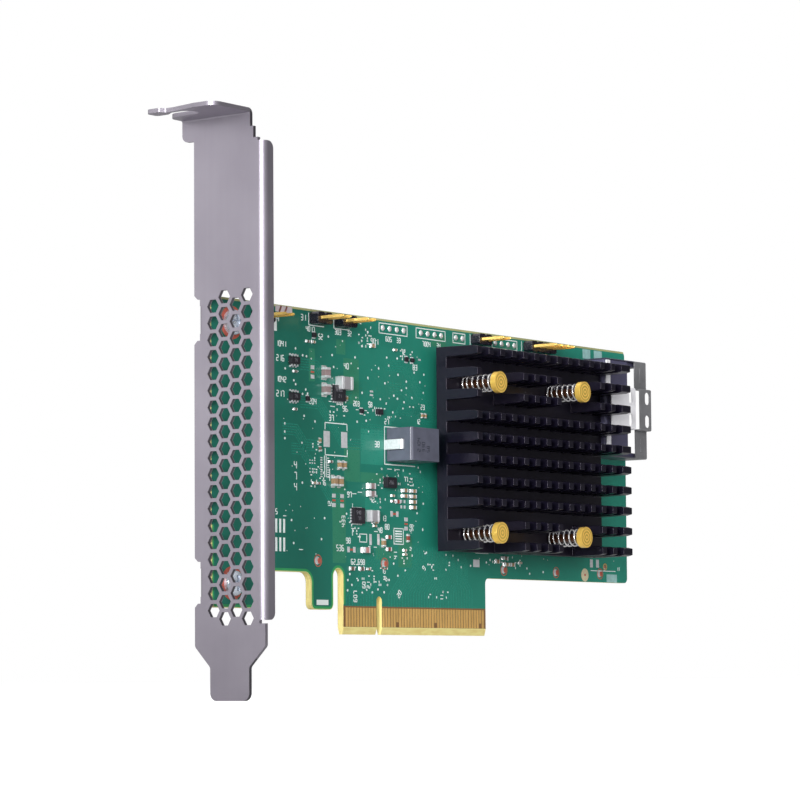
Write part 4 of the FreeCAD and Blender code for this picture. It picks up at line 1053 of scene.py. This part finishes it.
def boardEdge(inset, whole):
    # The outline drawn in by the inset, from the contacts round the slot, the hook and the
    # left leg; whole also takes in the top and the right end back to the contacts. An
    # inner corner's radius grows by the inset, an outer one's shrinks by it.
    left = boardLow[0] + inset
    right = boardHigh[0] - inset
    top = boardHigh[2] - inset
    tongue, slot, hook = edge["tongue"] + inset, edge["slot"] - inset, edge["hook"] + inset
    leg, far = boardLow[0] + edge["leg"] - inset, edge["far"] - inset
    foot, slotTop, shoulder = [edge[key] + inset for key in ("foot", "slotTop", "shoulder")]
    slotArc, inner = (edge["slotRadius"] + inset) * 0.99, edge["inner"] + inset
    outer = edge["outer"] - inset
    corners = [
        (tongue, edge["start"], 0), (tongue, slotTop, slotArc), (slot, slotTop, slotArc),
        (slot, foot, outer), (hook, foot, outer), (hook, shoulder, inner), (leg, shoulder, inner),
        (leg, foot, outer), (left, foot, outer)]
    if whole:
        corners += [(left, top, outer), (right, top, outer), (right, shoulder, outer),
                    (far, shoulder, edge["farInner"] + inset), (far, edge["start"], 0)]
    else:
        corners.append((left, edge["endZ"], 0))
    return roundedLine(corners)


copper = {
    # plates: middle x, middle z, width, height
    "olive": [(-13.9, 23.9, 4.6, 17.4), (-9.3, 36.5, 5.5, 7.5), (-9.4, 54.4, 5.4, 9.8),
              (-13.0, 61.6, 3.2, 3.2), (-23.0, 57.0, 2.0, 7.0), (2.4, 17.6, 7.0, 2.6),
              (-2.3, 33.9, 8.1, 2.2), (9.5, 18.0, 5.0, 6.5), (22.5, 65.6, 5.5, 2.6)],
    "pale": [(-2.2, 40.6, 8.0, 7.6), (-2.3, 26.5, 5.0, 6.0), (11.5, 40.2, 6.0, 11.0)],
    # bundles of traces: start x, start z, run along X, rise
    "bundles": [(-27.0, 58.0, 12.0, -6.0), (-27.0, 50.0, 14.0, -8.0), (-33.0, 44.0, 10.0, -3.0),
                (3.0, 60.0, 14.0, -8.0), (4.0, 55.0, 12.0, -6.0), (-6.0, 45.5, 18.0, 5.0),
                (13.5, 36.0, 4.5, -9.0), (-30.0, 40.0, 8.0, -10.0)],
    "lanes": 5, "lanePitch": 0.55,
    # traces from the contacts: the first contact's place on each side of the key notch, the
    # two places that the notch takes, where the row is widened from and by how much
    "contacts": 44, "near": -11.5, "far": -8.5, "notch": (10, 11), "centre": 14.0,
    "rowMiddle": 22.0, "rowPitch": 0.52, "foot": 6.0, "climb": 8.2, "stagger": 0.05,
    "slantTop": 17.2, "top": 19.5,
    # widths of the traces, and heights off the board
    "contactWidth": 0.22, "bundleWidth": 0.2, "traceHeight": 0.018, "bendShare": 0.4,
    "oliveSizes": (0.012, 0.008, 0.01), "paleSizes": (0.006, 0.004, 0.01),
    # the margin and its lines: distance from the outline, and width
    "margin": (0.34, 0.66), "rearMargin": (0.4, 0.7), "marginHeight": 0.022,
    "edgeLine": (0.07, 0.14), "edgeHeight": 0.025, "topLine": (0.24, 0.44), "topEnds": 0.9,
}


def contactTraces():
    # From each contact a trace climbs straight, slants to its place in a wider row, and
    # climbs on: the slant is as long as the place lies aside, up to a common level.
    place = np.arange(copper["contacts"])
    start = np.where(place < copper["notch"][1], copper["near"], copper["far"]) + place
    start = start[~np.isin(place, copper["notch"])]
    spreadX = copper["rowMiddle"] + (start - copper["centre"]) * copper["rowPitch"]
    level = copper["climb"] + copper["stagger"] * np.arange(len(start))
    turnZ = np.minimum(level + np.abs(spreadX - start), copper["slantTop"])
    bendX = start + np.sign(spreadX - start) * (turnZ - level)
    z = np.stack(np.broadcast_arrays(copper["foot"], level, turnZ, copper["top"]), -1)
    return np.stack([np.stack([start, start, bendX, bendX], -1), z], -1)


def bundleTraces():
    # Each lane runs level, slants by the bundle's rise, and runs level again.
    lines = []
    for x, z, run, rise in copper["bundles"]:
        for lane in range(copper["lanes"]):
            drop = lane * copper["lanePitch"]
            first = x + run / 2 - drop * copper["bendShare"]
            last = x + run - drop * copper["bendShare"]
            lines.append([(x, z - drop), (first, z - drop), (first + abs(rise), z - drop + rise),
                          (last + abs(rise), z - drop + rise)])
    return lines


def makeCopper():
    # Broad plates stand for copper planes, lines for traces, and a paler line for the
    # margin without copper that follows the board's outline.
    high, edgeHeight = copper["marginHeight"], copper["edgeHeight"]
    inset, width = copper["margin"]
    rearInset, rearWidth = copper["rearMargin"]
    edgeInset, edgeWidth = copper["edgeLine"]
    topInset, topWidth = copper["topLine"]
    topBar = ((boardLow[0] + boardHigh[0]) / 2, boardHigh[2] - topInset,
              boardHigh[0] - boardLow[0] - copper["topEnds"], topWidth, 0)
    traces = [stripsAlong(lines, copper[kind + "Width"], faceY, -1, copper["traceHeight"])
              for kind, lines in (("contact", contactTraces()), ("bundle", bundleTraces()))]
    for name, shape, look in (
            ("olivePlanes", platesAt(copper["olive"], *copper["oliveSizes"]), "oliveMask"),
            ("palePlanes", platesAt(copper["pale"], *copper["paleSizes"]), "paleMask"),
            ("copperTracks", joinShapes(*traces), "traceMask"),
            ("bareMargin", joinShapes(
                stripsAlong(boardEdge(inset, False), width, faceY, -1, high),
                stripsAlong(boardEdge(rearInset, True), rearWidth, rearY, 1, high)),
             "marginMask"),
            ("edgeLine", stripsAlong(boardEdge(edgeInset, False), edgeWidth, faceY, -1,
                                     edgeHeight), "edgeLine"),
            ("topLine", flatBars(topBar, high, faceY, -1), "topLine")):
        addPiece(name, shape, look)


pads = {
    "rowZ": 66.9,
    "rowX": (1.9, 4.4, 7.0, 9.5, 15.9, 18.4, 21.0, 23.5, 29.1, 31.6, 44.4, 46.9, 49.5, 52.0),
    "copper": [(-21.25, 15.5), (2.0, 15.4), (47.0, 15.0), (68.1, 14.9), (86.65, 15.0)],
    "oval": [(80.2, 14.6)], "olive": [(88.85, 16.7)], "screws": [(-49.5, 63.85), (-49.5, 10.2)],
    # flat ones: middle x, middle z, width, height
    "flat": [(-18.05, 41.5, 2.1, 3.4), (-12.0, 41.6, 2.1, 3.4), (-2.95, 20.5, 0.8, 2.4),
             (-0.15, 20.6, 0.8, 2.4), (15.3, 60.9, 0.9, 0.4), (-2.25, 52.7, 1.1, 0.4),
             (-2.25, 51.9, 1.1, 0.4), (36.2, 16.3, 2.4, 1.7), (83.0, 17.4, 1.2, 1.9),
             (85.6, 17.4, 1.2, 1.9), (8.2, 29.2, 0.6, 0.7), (9.4, 29.2, 0.6, 0.7),
             (8.2, 28.0, 0.6, 0.7), (9.4, 28.0, 0.6, 0.7)],
    # pairs of pads joined by copper, one above the other or side by side
    "linked": [(-22.8, 55.5), (-15.7, 28.5), (-12.85, 28.5), (9.9, 24.3)],
    "linkedAcross": [(-9.7, 18.15), (5.7, 26.35)],
    # domes: radius and height; rings: inner and outer radius; links and pairs: width, height
    "rowDome": (0.66, 0.34), "rearDome": (0.62, 0.22), "glint": (0.85, 0.035),
    "glintShift": (-0.26, 0.03), "disc": (0.68, 0.07), "discShift": (0.36, 0.0),
    "bead": (0.4, 0.09), "cream": (1.55, 0.05), "via": (0.27, 0.05), "farVia": (0.13, 0.03),
    "rearVia": (0.17, 0.03), "copperRing": (1.12, 1.3), "screwRing": (2.62, 3.5),
    "rearRing": (1.7, 3.5), "oliveRing": (0.55, 0.85), "pinRing": (1.35, 2.3),
    "link": (1.1, 0.44), "pair": (1.2, 0.84), "pairGap": 1.0, "headerMargin": 0.32,
    "hiddenLeft": 1, "hiddenRight": 20,
    # fine pads: a comb of rows and a block of dots
    "combX": (-19.9, -17.6), "combZ": 33.4, "combRows": 9, "combPitch": 0.5, "comb": (0.7, 0.26),
    "dotX": (-23.8, -23.0, -22.2), "dotZ": (34.2, 34.9, 36.1, 36.7), "dot": (0.4, 0.28),
    # a solder wick round a header's tail: height behind the board and radius
    "wick": [(-0.01, 0.88), (0.06, 0.8), (0.3, 0.52), (0.75, 0.36), (0.9, 0.3)],
}
vias = [(-32.2, 44.0), (-32.2, 42.3), (-32.2, 40.9), (-26.5, 40.2), (-22.0, 45.0), (-25.7, 46.0),
        (-23.2, 58.3), (-16.0, 59.6), (-8.0, 59.7), (-9.4, 58.3), (-15.5, 57.1), (-17.3, 63.5),
        (-12.4, 62.9), (3.3, 60.5), (7.1, 60.6), (4.0, 58.8), (7.4, 57.0), (-3.5, 55.6),
        (2.6, 54.8), (10.4, 55.7), (10.4, 54.3), (8.6, 53.7), (15.4, 55.9), (16.6, 53.6),
        (5.8, 52.3), (7.1, 51.7), (12.4, 52.3), (9.5, 51.1), (-5.6, 52.2), (-7.8, 51.0),
        (0.9, 51.2), (9.1, 49.7), (5.4, 48.6), (6.3, 47.7), (-4.2, 46.2), (-7.4, 45.8),
        (-3.4, 43.9), (12.9, 50.2), (11.6, 50.2), (-26.1, 58.8), (-24.8, 58.7), (-28.5, 60.1),
        (-32.0, 55.6), (-29.1, 53.3), (-28.5, 52.5), (-25.1, 51.6), (-24.5, 50.8), (-26.2, 50.6),
        (-5.6, 63.5), (-5.6, 62.3), (-3.4, 65.6), (-7.0, 57.4), (14.5, 36.9), (15.3, 36.0),
        (14.0, 26.8), (16.3, 29.0), (16.0, 23.2), (17.3, 18.2), (11.7, 19.0), (10.2, 17.6),
        (9.5, 14.1), (6.8, 12.9), (5.3, 15.5), (4.0, 16.9), (-13.6, 24.0), (-11.3, 25.8),
        (-11.9, 31.0), (-10.3, 12.9), (-11.0, 11.6), (-9.6, 10.6), (-11.1, 9.4), (-6.0, 9.0),
        (-4.4, 9.6), (-2.4, 9.1), (-0.4, 9.8), (1.8, 9.2), (3.6, 11.9), (-7.4, 11.6), (16.8, 18.0),
        (17.9, 15.6), (19.4, 15.2), (24.7, 17.9), (25.9, 16.2), (27.3, 17.8), (29.2, 16.9),
        (30.4, 15.3), (34.0, 15.7), (24.6, 14.6), (40.1, 16.6), (41.6, 17.2), (56.2, 15.6),
        (57.3, 14.4), (62.8, 14.9), (-30.1, 23.8), (-29.4, 19.0), (-18.9, 24.6), (-26.4, 31.8),
        (-20.0, 20.1), (17.1, 44.3), (16.9, 57.7), (13.3, 57.9), (0.4, 57.9)]
farVias = np.random.default_rng(11).uniform((-34, 16), (96, 65), (230, 2))


def makePads():
    rows = [(x, pads["rowZ"]) for x in pads["rowX"]]
    margin = pads["headerMargin"]
    tails = []
    for place, number in headers.items():
        low, high = span("header_" + place + "_pins")
        tails += [(x, (low[2] + high[2]) / 2)
                  for x in np.linspace(low[0] + margin, high[0] - margin, number)]
    wick = [(rearY + rise, radius) for rise, radius in pads["wick"]]
    # painted highlight: a solder dome shifted to the left of each copper disc stands in for the
    # disc's white glint
    glints = np.add(pads["copper"], pads["glintShift"])
    discs = np.add(pads["copper"], pads["discShift"])
    addPiece("solderDomes", joinShapes(
        domesAt(rows, *pads["rowDome"], faceY, -1, 16, 5),
        domesAt(rows, *pads["rearDome"], rearY, 1, 16, 4),
        domesAt(glints, *pads["glint"], faceY, -1, 24, 3), turnedShapes(wick, tails, 16)),
        "solder", 60.0)
    links = [(x, z, *pads["link"]) for x, z in pads["linked"] + pads["linkedAcross"]]
    addPiece("copperPads", joinShapes(
        domesAt(discs, *pads["disc"], faceY, -1, 24, 3),
        ringsAt(pads["copper"], *pads["copperRing"], faceY, -1),
        domesAt(pads["oval"] + pads["olive"], *pads["bead"], faceY, -1, 20, 3),
        ringsAt(pads["screws"], *pads["screwRing"], faceY, -1),
        ringsAt(pads["screws"], *pads["rearRing"], rearY, 1), platesAt(links, 0.05)),
        "barePlate")
    addPiece("giltRings", joinShapes(ringsAt(pads["olive"], *pads["oliveRing"], faceY, -1),
                                     ringsAt(pinPlaces, *pads["pinRing"], rearY, 1)),
             "goldPlate")
    addPiece("creamPad", domesAt(pads["oval"], *pads["cream"], faceY, -1, 28, 3), "creamPlate")
    wide, tall = pads["pair"]
    gaps = (-pads["pairGap"], pads["pairGap"])
    pairs = [(x, z + gap, wide, tall) for x, z in pads["linked"] for gap in gaps]
    pairs += [(x + gap, z, tall, wide) for x, z in pads["linkedAcross"] for gap in gaps]
    fine = [(x, pads["combZ"] + row * pads["combPitch"], *pads["comb"])
            for row in range(pads["combRows"]) for x in pads["combX"]]
    fine += [(x, z, *pads["dot"]) for x in pads["dotX"] for z in pads["dotZ"]]
    addPiece("flatPads", joinShapes(platesAt(pads["flat"], 0.045), platesAt(pairs, 0.06),
                                    platesAt(fine, 0.04)), "brightTin")
    # in front the far ones are left out under the heat sink and to its right
    low, high = span("heat_sink")
    hidden = ((farVias[:, 0] > low[0] - pads["hiddenLeft"])
              & (farVias[:, 0] < high[0] + pads["hiddenRight"]) & (farVias[:, 1] > low[2]))
    addPiece("viaDots", joinShapes(domesAt(vias, *pads["via"], faceY, -1, 10, 2),
                                   domesAt(farVias[~hidden], *pads["farVia"], faceY, -1, 6, 2),
                                   domesAt(farVias, *pads["rearVia"], rearY, 1, 6, 2)),
             "whitePrint")


makeCopper()
makePads()
print("copper, pads and vias made")

printed = {
    # plain reference numbers by their angle: text, x and z of the first one's foot, height
    "numbers": {
        0: [("1041", -34.9, 60.2, 1.1), ("216", -34.9, 57.1, 1.2), ("1042", -34.9, 52.7, 1.1),
            ("217", -34.9, 49.6, 1.2), ("31", -26.6, 66.3, 1.2), ("4017", -24.9, 64.1, 1.0),
            ("52", -20.7, 62.7, 1.1), ("303", -15.0, 64.2, 1.0), ("32", -10.6, 64.2, 1.0),
            ("901", -2.3, 63.1, 1.2), ("605", 3.0, 64.1, 1.0), ("33", 7.0, 64.1, 1.0),
            ("7004", 16.5, 64.1, 1.0), ("34", 21.8, 64.1, 1.0), ("72", 8.6, 61.6, 1.1),
            ("83", 12.9, 58.5, 1.1), ("40", -11.9, 57.0, 1.2), ("96", -12.4, 47.8, 1.1),
            ("204", -23.9, 48.7, 1.1), ("37", -17.2, 45.5, 1.2), ("203", -8.7, 49.2, 1.0),
            ("58", -3.4, 49.3, 1.0), ("27", 2.4, 45.9, 1.1), ("38", -1.2, 40.7, 1.2),
            ("23", 15.7, 49.9, 1.0), ("12", 14.0, 46.6, 1.0), ("97", -11.0, 29.4, 1.1),
            ("42", -3.0, 28.6, 1.1), ("13", 1.2, 24.7, 1.1), ("80", 2.3, 22.9, 1.1),
            ("48", -0.2, 22.1, 1.1), ("98", -11.5, 19.5, 1.1), ("536", -14.9, 17.8, 1.2),
            ("62", -9.8, 15.0, 1.1), ("698", -7.4, 15.0, 1.1), ("15", 1.0, 13.3, 1.0),
            ("77", 9.3, 33.6, 1.0), ("4", -29.1, 34.7, 1.5), ("7", -29.1, 32.4, 1.5),
            ("4", -29.1, 30.1, 1.5), ("5", -35.4, 24.9, 1.1), ("76", -19.8, 31.6, 1.0),
            ("44", -35.4, 65.4, 1.0), ("11", 94.0, 15.9, 0.8), ("3", 88.4, 15.9, 0.8)],
        90: [("12", -16.6, 26.8, 1.1), ("433", -11.9, 23.0, 1.1), ("58", 12.4, 22.8, 1.1),
            ("41", 6.5, 16.6, 1.1), ("607", -7.9, 7.0, 1.1), ("60", -4.9, 10.0, 1.0),
            ("21", -3.3, 10.0, 1.0), ("11", 23.4, 7.6, 1.0)],
        52: [("20", 7.2, 8.0, 1.1), ("9", 16.6, 14.2, 1.1)],
        45: [("8", 2.6, 11.6, 1.0)],
    },
    # frames: x0, x1, z0, z1
    "frames": [(0.6, 10.8, 65.75, 67.95), (14.1, 25.0, 65.75, 67.95), (28.0, 32.6, 65.75, 67.95),
               (43.2, 53.1, 65.75, 67.95), (-6.8, -4.3, 19.9, 21.6), (5.45, 8.85, 19.8, 23.2)],
    # single bars by their width and angle: x, z, length
    "bars": {
        (0.22, 90): [(-18.6, 44.3, 1.5), (-11.0, 44.3, 1.5), (-18.6, 38.8, 1.4),
            (-11.0, 38.8, 1.4), (-24.0, 66.8, 2.6), (-15.4, 66.8, 2.6)],
        (0.22, 0): [(-14.8, 45.0, 7.8), (-14.8, 38.1, 7.8)],
        (0.24, 90): [(2.3, 41.2, 8.2)],
        (0.24, 0): [(5.4, 45.3, 6.3), (7.8, 37.1, 11.1)],
        (0.2, 0): [(-21.4, 65.45, 5.2), (-12.6, 65.45, 5.6), (88.0, 15.7, 10.6),
            (-27.0, 17.7, 1.3), (11.9, 34.4, 1.0), (11.9, 33.6, 1.0), (11.9, 32.8, 1.0)],
        (0.2, 90): [(34.6, 66.9, 2.5), (55.0, 66.9, 2.5), (-18.9, 35.6, 4.6), (-18.3, 35.6, 4.6),
            (-17.1, 33.9, 2.6)],
        (0.18, 0): [(-16.8, 49.6, 0.9), (-3.4, 19.0, 0.8), (-1.0, 22.3, 1.3), (-1.3, 18.9, 1.0),
            (-32.4, 24.6, 1.0)],
        (0.18, 90): [(-12.4, 49.6, 0.6), (-9.2, 26.4, 3.4)],
        (0.16, 0): [(-16.0, 48.6, 1.6), (-8.6, 30.2, 1.4), (-6.6, 30.6, 1.6), (-8.9, 22.7, 1.6),
            (-4.4, 48.4, 0.9), (-7.4, 48.4, 0.9), (38.4, 18.6, 5.0), (4.0, 36.1, 1.6),
            (7.0, 36.1, 1.4)],
        (0.3, 0): [(7.15, 20.4, 2.4), (7.15, 20.95, 2.4), (7.15, 21.5, 2.4), (7.15, 22.05, 2.4),
            (7.15, 22.6, 2.4)],
        (0.16, 90): [(-9.3, 21.9, 1.4), (-0.9, 48.4, 1.2), (3.1, 33.9, 1.8)],
    },
    # broad white fields: x, z, length, width, angle
    "fields": [(-19.8, 6.7, 4.0, 1.1, 0), (-35.2, 64.5, 0.9, 2.4, 0)],
    # softer fields, a pale tape with two slanted stripes, in the same rows
    "patches": [(91.7, 14.0, 4.4, 1.9, 0), (82.0, 67.2, 3.2, 2.2, 0), (86.9, 67.2, 3.4, 2.2, 0)],
    "tape": [(-32.4, 68.05, 5.6, 1.3, 0)],
    "stripes": [(-33.6, 68.05, 1.5, 0.5, 62), (-31.7, 68.05, 1.5, 0.5, 62)],
    "slats": [(x, z, 2.9, 0.62, 90) for z in (22.5, 18.6) for x in (-35.2, -33.9, -32.6)],
    # small marks strewn on a grid: x0, x1, z0, z1 and how many
    "strewn": [(-8.5, 4.5, 10.5, 14.8, 26), (-10.5, -6.0, 20.0, 25.5, 18),
               (2.0, 13.0, 32.5, 36.0, 16), (-17.0, -9.5, 46.8, 50.0, 16),
               (-7.0, -1.0, 62.0, 67.0, 22), (-23.5, -19.0, 30.5, 41.0, 22),
               (8.0, 13.0, 60.0, 62.5, 12), (42.0, 54.0, 15.8, 18.4, 16),
               (18.0, 26.0, 8.0, 16.0, 14), (-1.5, 2.5, 27.0, 36.0, 18),
               (8.0, 12.5, 15.5, 19.5, 10), (-5.0, 4.5, 47.0, 50.5, 12)],
    "strewnGrid": 0.6, "strewnSize": (0.5, 0.26), "stroke": 0.2,
    # numbers on the far side, each with a line under it: x and z
    "rearHeight": 1.3, "rearFirst": 400, "rearStep": 7, "rearLine": (3.4, 0.18, 0),
    "rearLineShift": (1.2, -1.0),
    "rear": [(-30, 58), (-12, 52), (8, 60), (30, 14.6), (70, 66), (88, 30), (60, 60), (25, 66),
             (-28, 30), (5, 24), (84, 58)],
}


def makePrint():
    bars = [(*row, *kind) for kind, rows in printed["bars"].items() for row in rows]
    for angle, rows in printed["numbers"].items():
        for row in rows:
            bars += numberBars(*row, angle)
    stroke = printed["stroke"]
    for x0, x1, z0, z1 in printed["frames"]:
        for z in (z0, z1):
            bars.append(((x0 + x1) / 2, z, x1 - x0 + stroke, stroke, 0))
        for x in (x0, x1):
            bars.append((x, (z0 + z1) / 2, z1 - z0, stroke, 90))
    dots = np.random.default_rng(5)
    grid = printed["strewnGrid"]
    for x0, x1, z0, z1, number in printed["strewn"]:
        spots = np.round(dots.uniform((x0, z0), (x1, z1), (number, 2)) / grid) * grid
        bars += [(x, z, *printed["strewnSize"], 90 * (index % 2))
                 for index, (x, z) in enumerate(spots)]
    rear = []
    for index, (x, z) in enumerate(printed["rear"]):
        number = printed["rearFirst"] + index * printed["rearStep"]
        rear += numberBars(str(number), x, z, printed["rearHeight"], 0)
        rear.append((*np.add((x, z), printed["rearLineShift"]), *printed["rearLine"]))
    addPiece("whitePrint", joinShapes(flatBars(bars + printed["fields"], 0.03, faceY, -1),
                                      flatBars(printed["slats"], 0.035, faceY, -1),
                                      flatBars(rear, 0.03, rearY, 1)),
             "whitePrint", 20.0)
    for name, rows, look, thickness in (("softPatches", "patches", "cyanPatch", 0.028),
                                        ("labelTape", "tape", "labelTape", 0.04),
                                        ("tapeStripes", "stripes", "labelStripe", 0.05)):
        addPiece(name, flatBars(printed[rows], thickness, faceY, -1), look, 20.0)


makePrint()
print("print made")
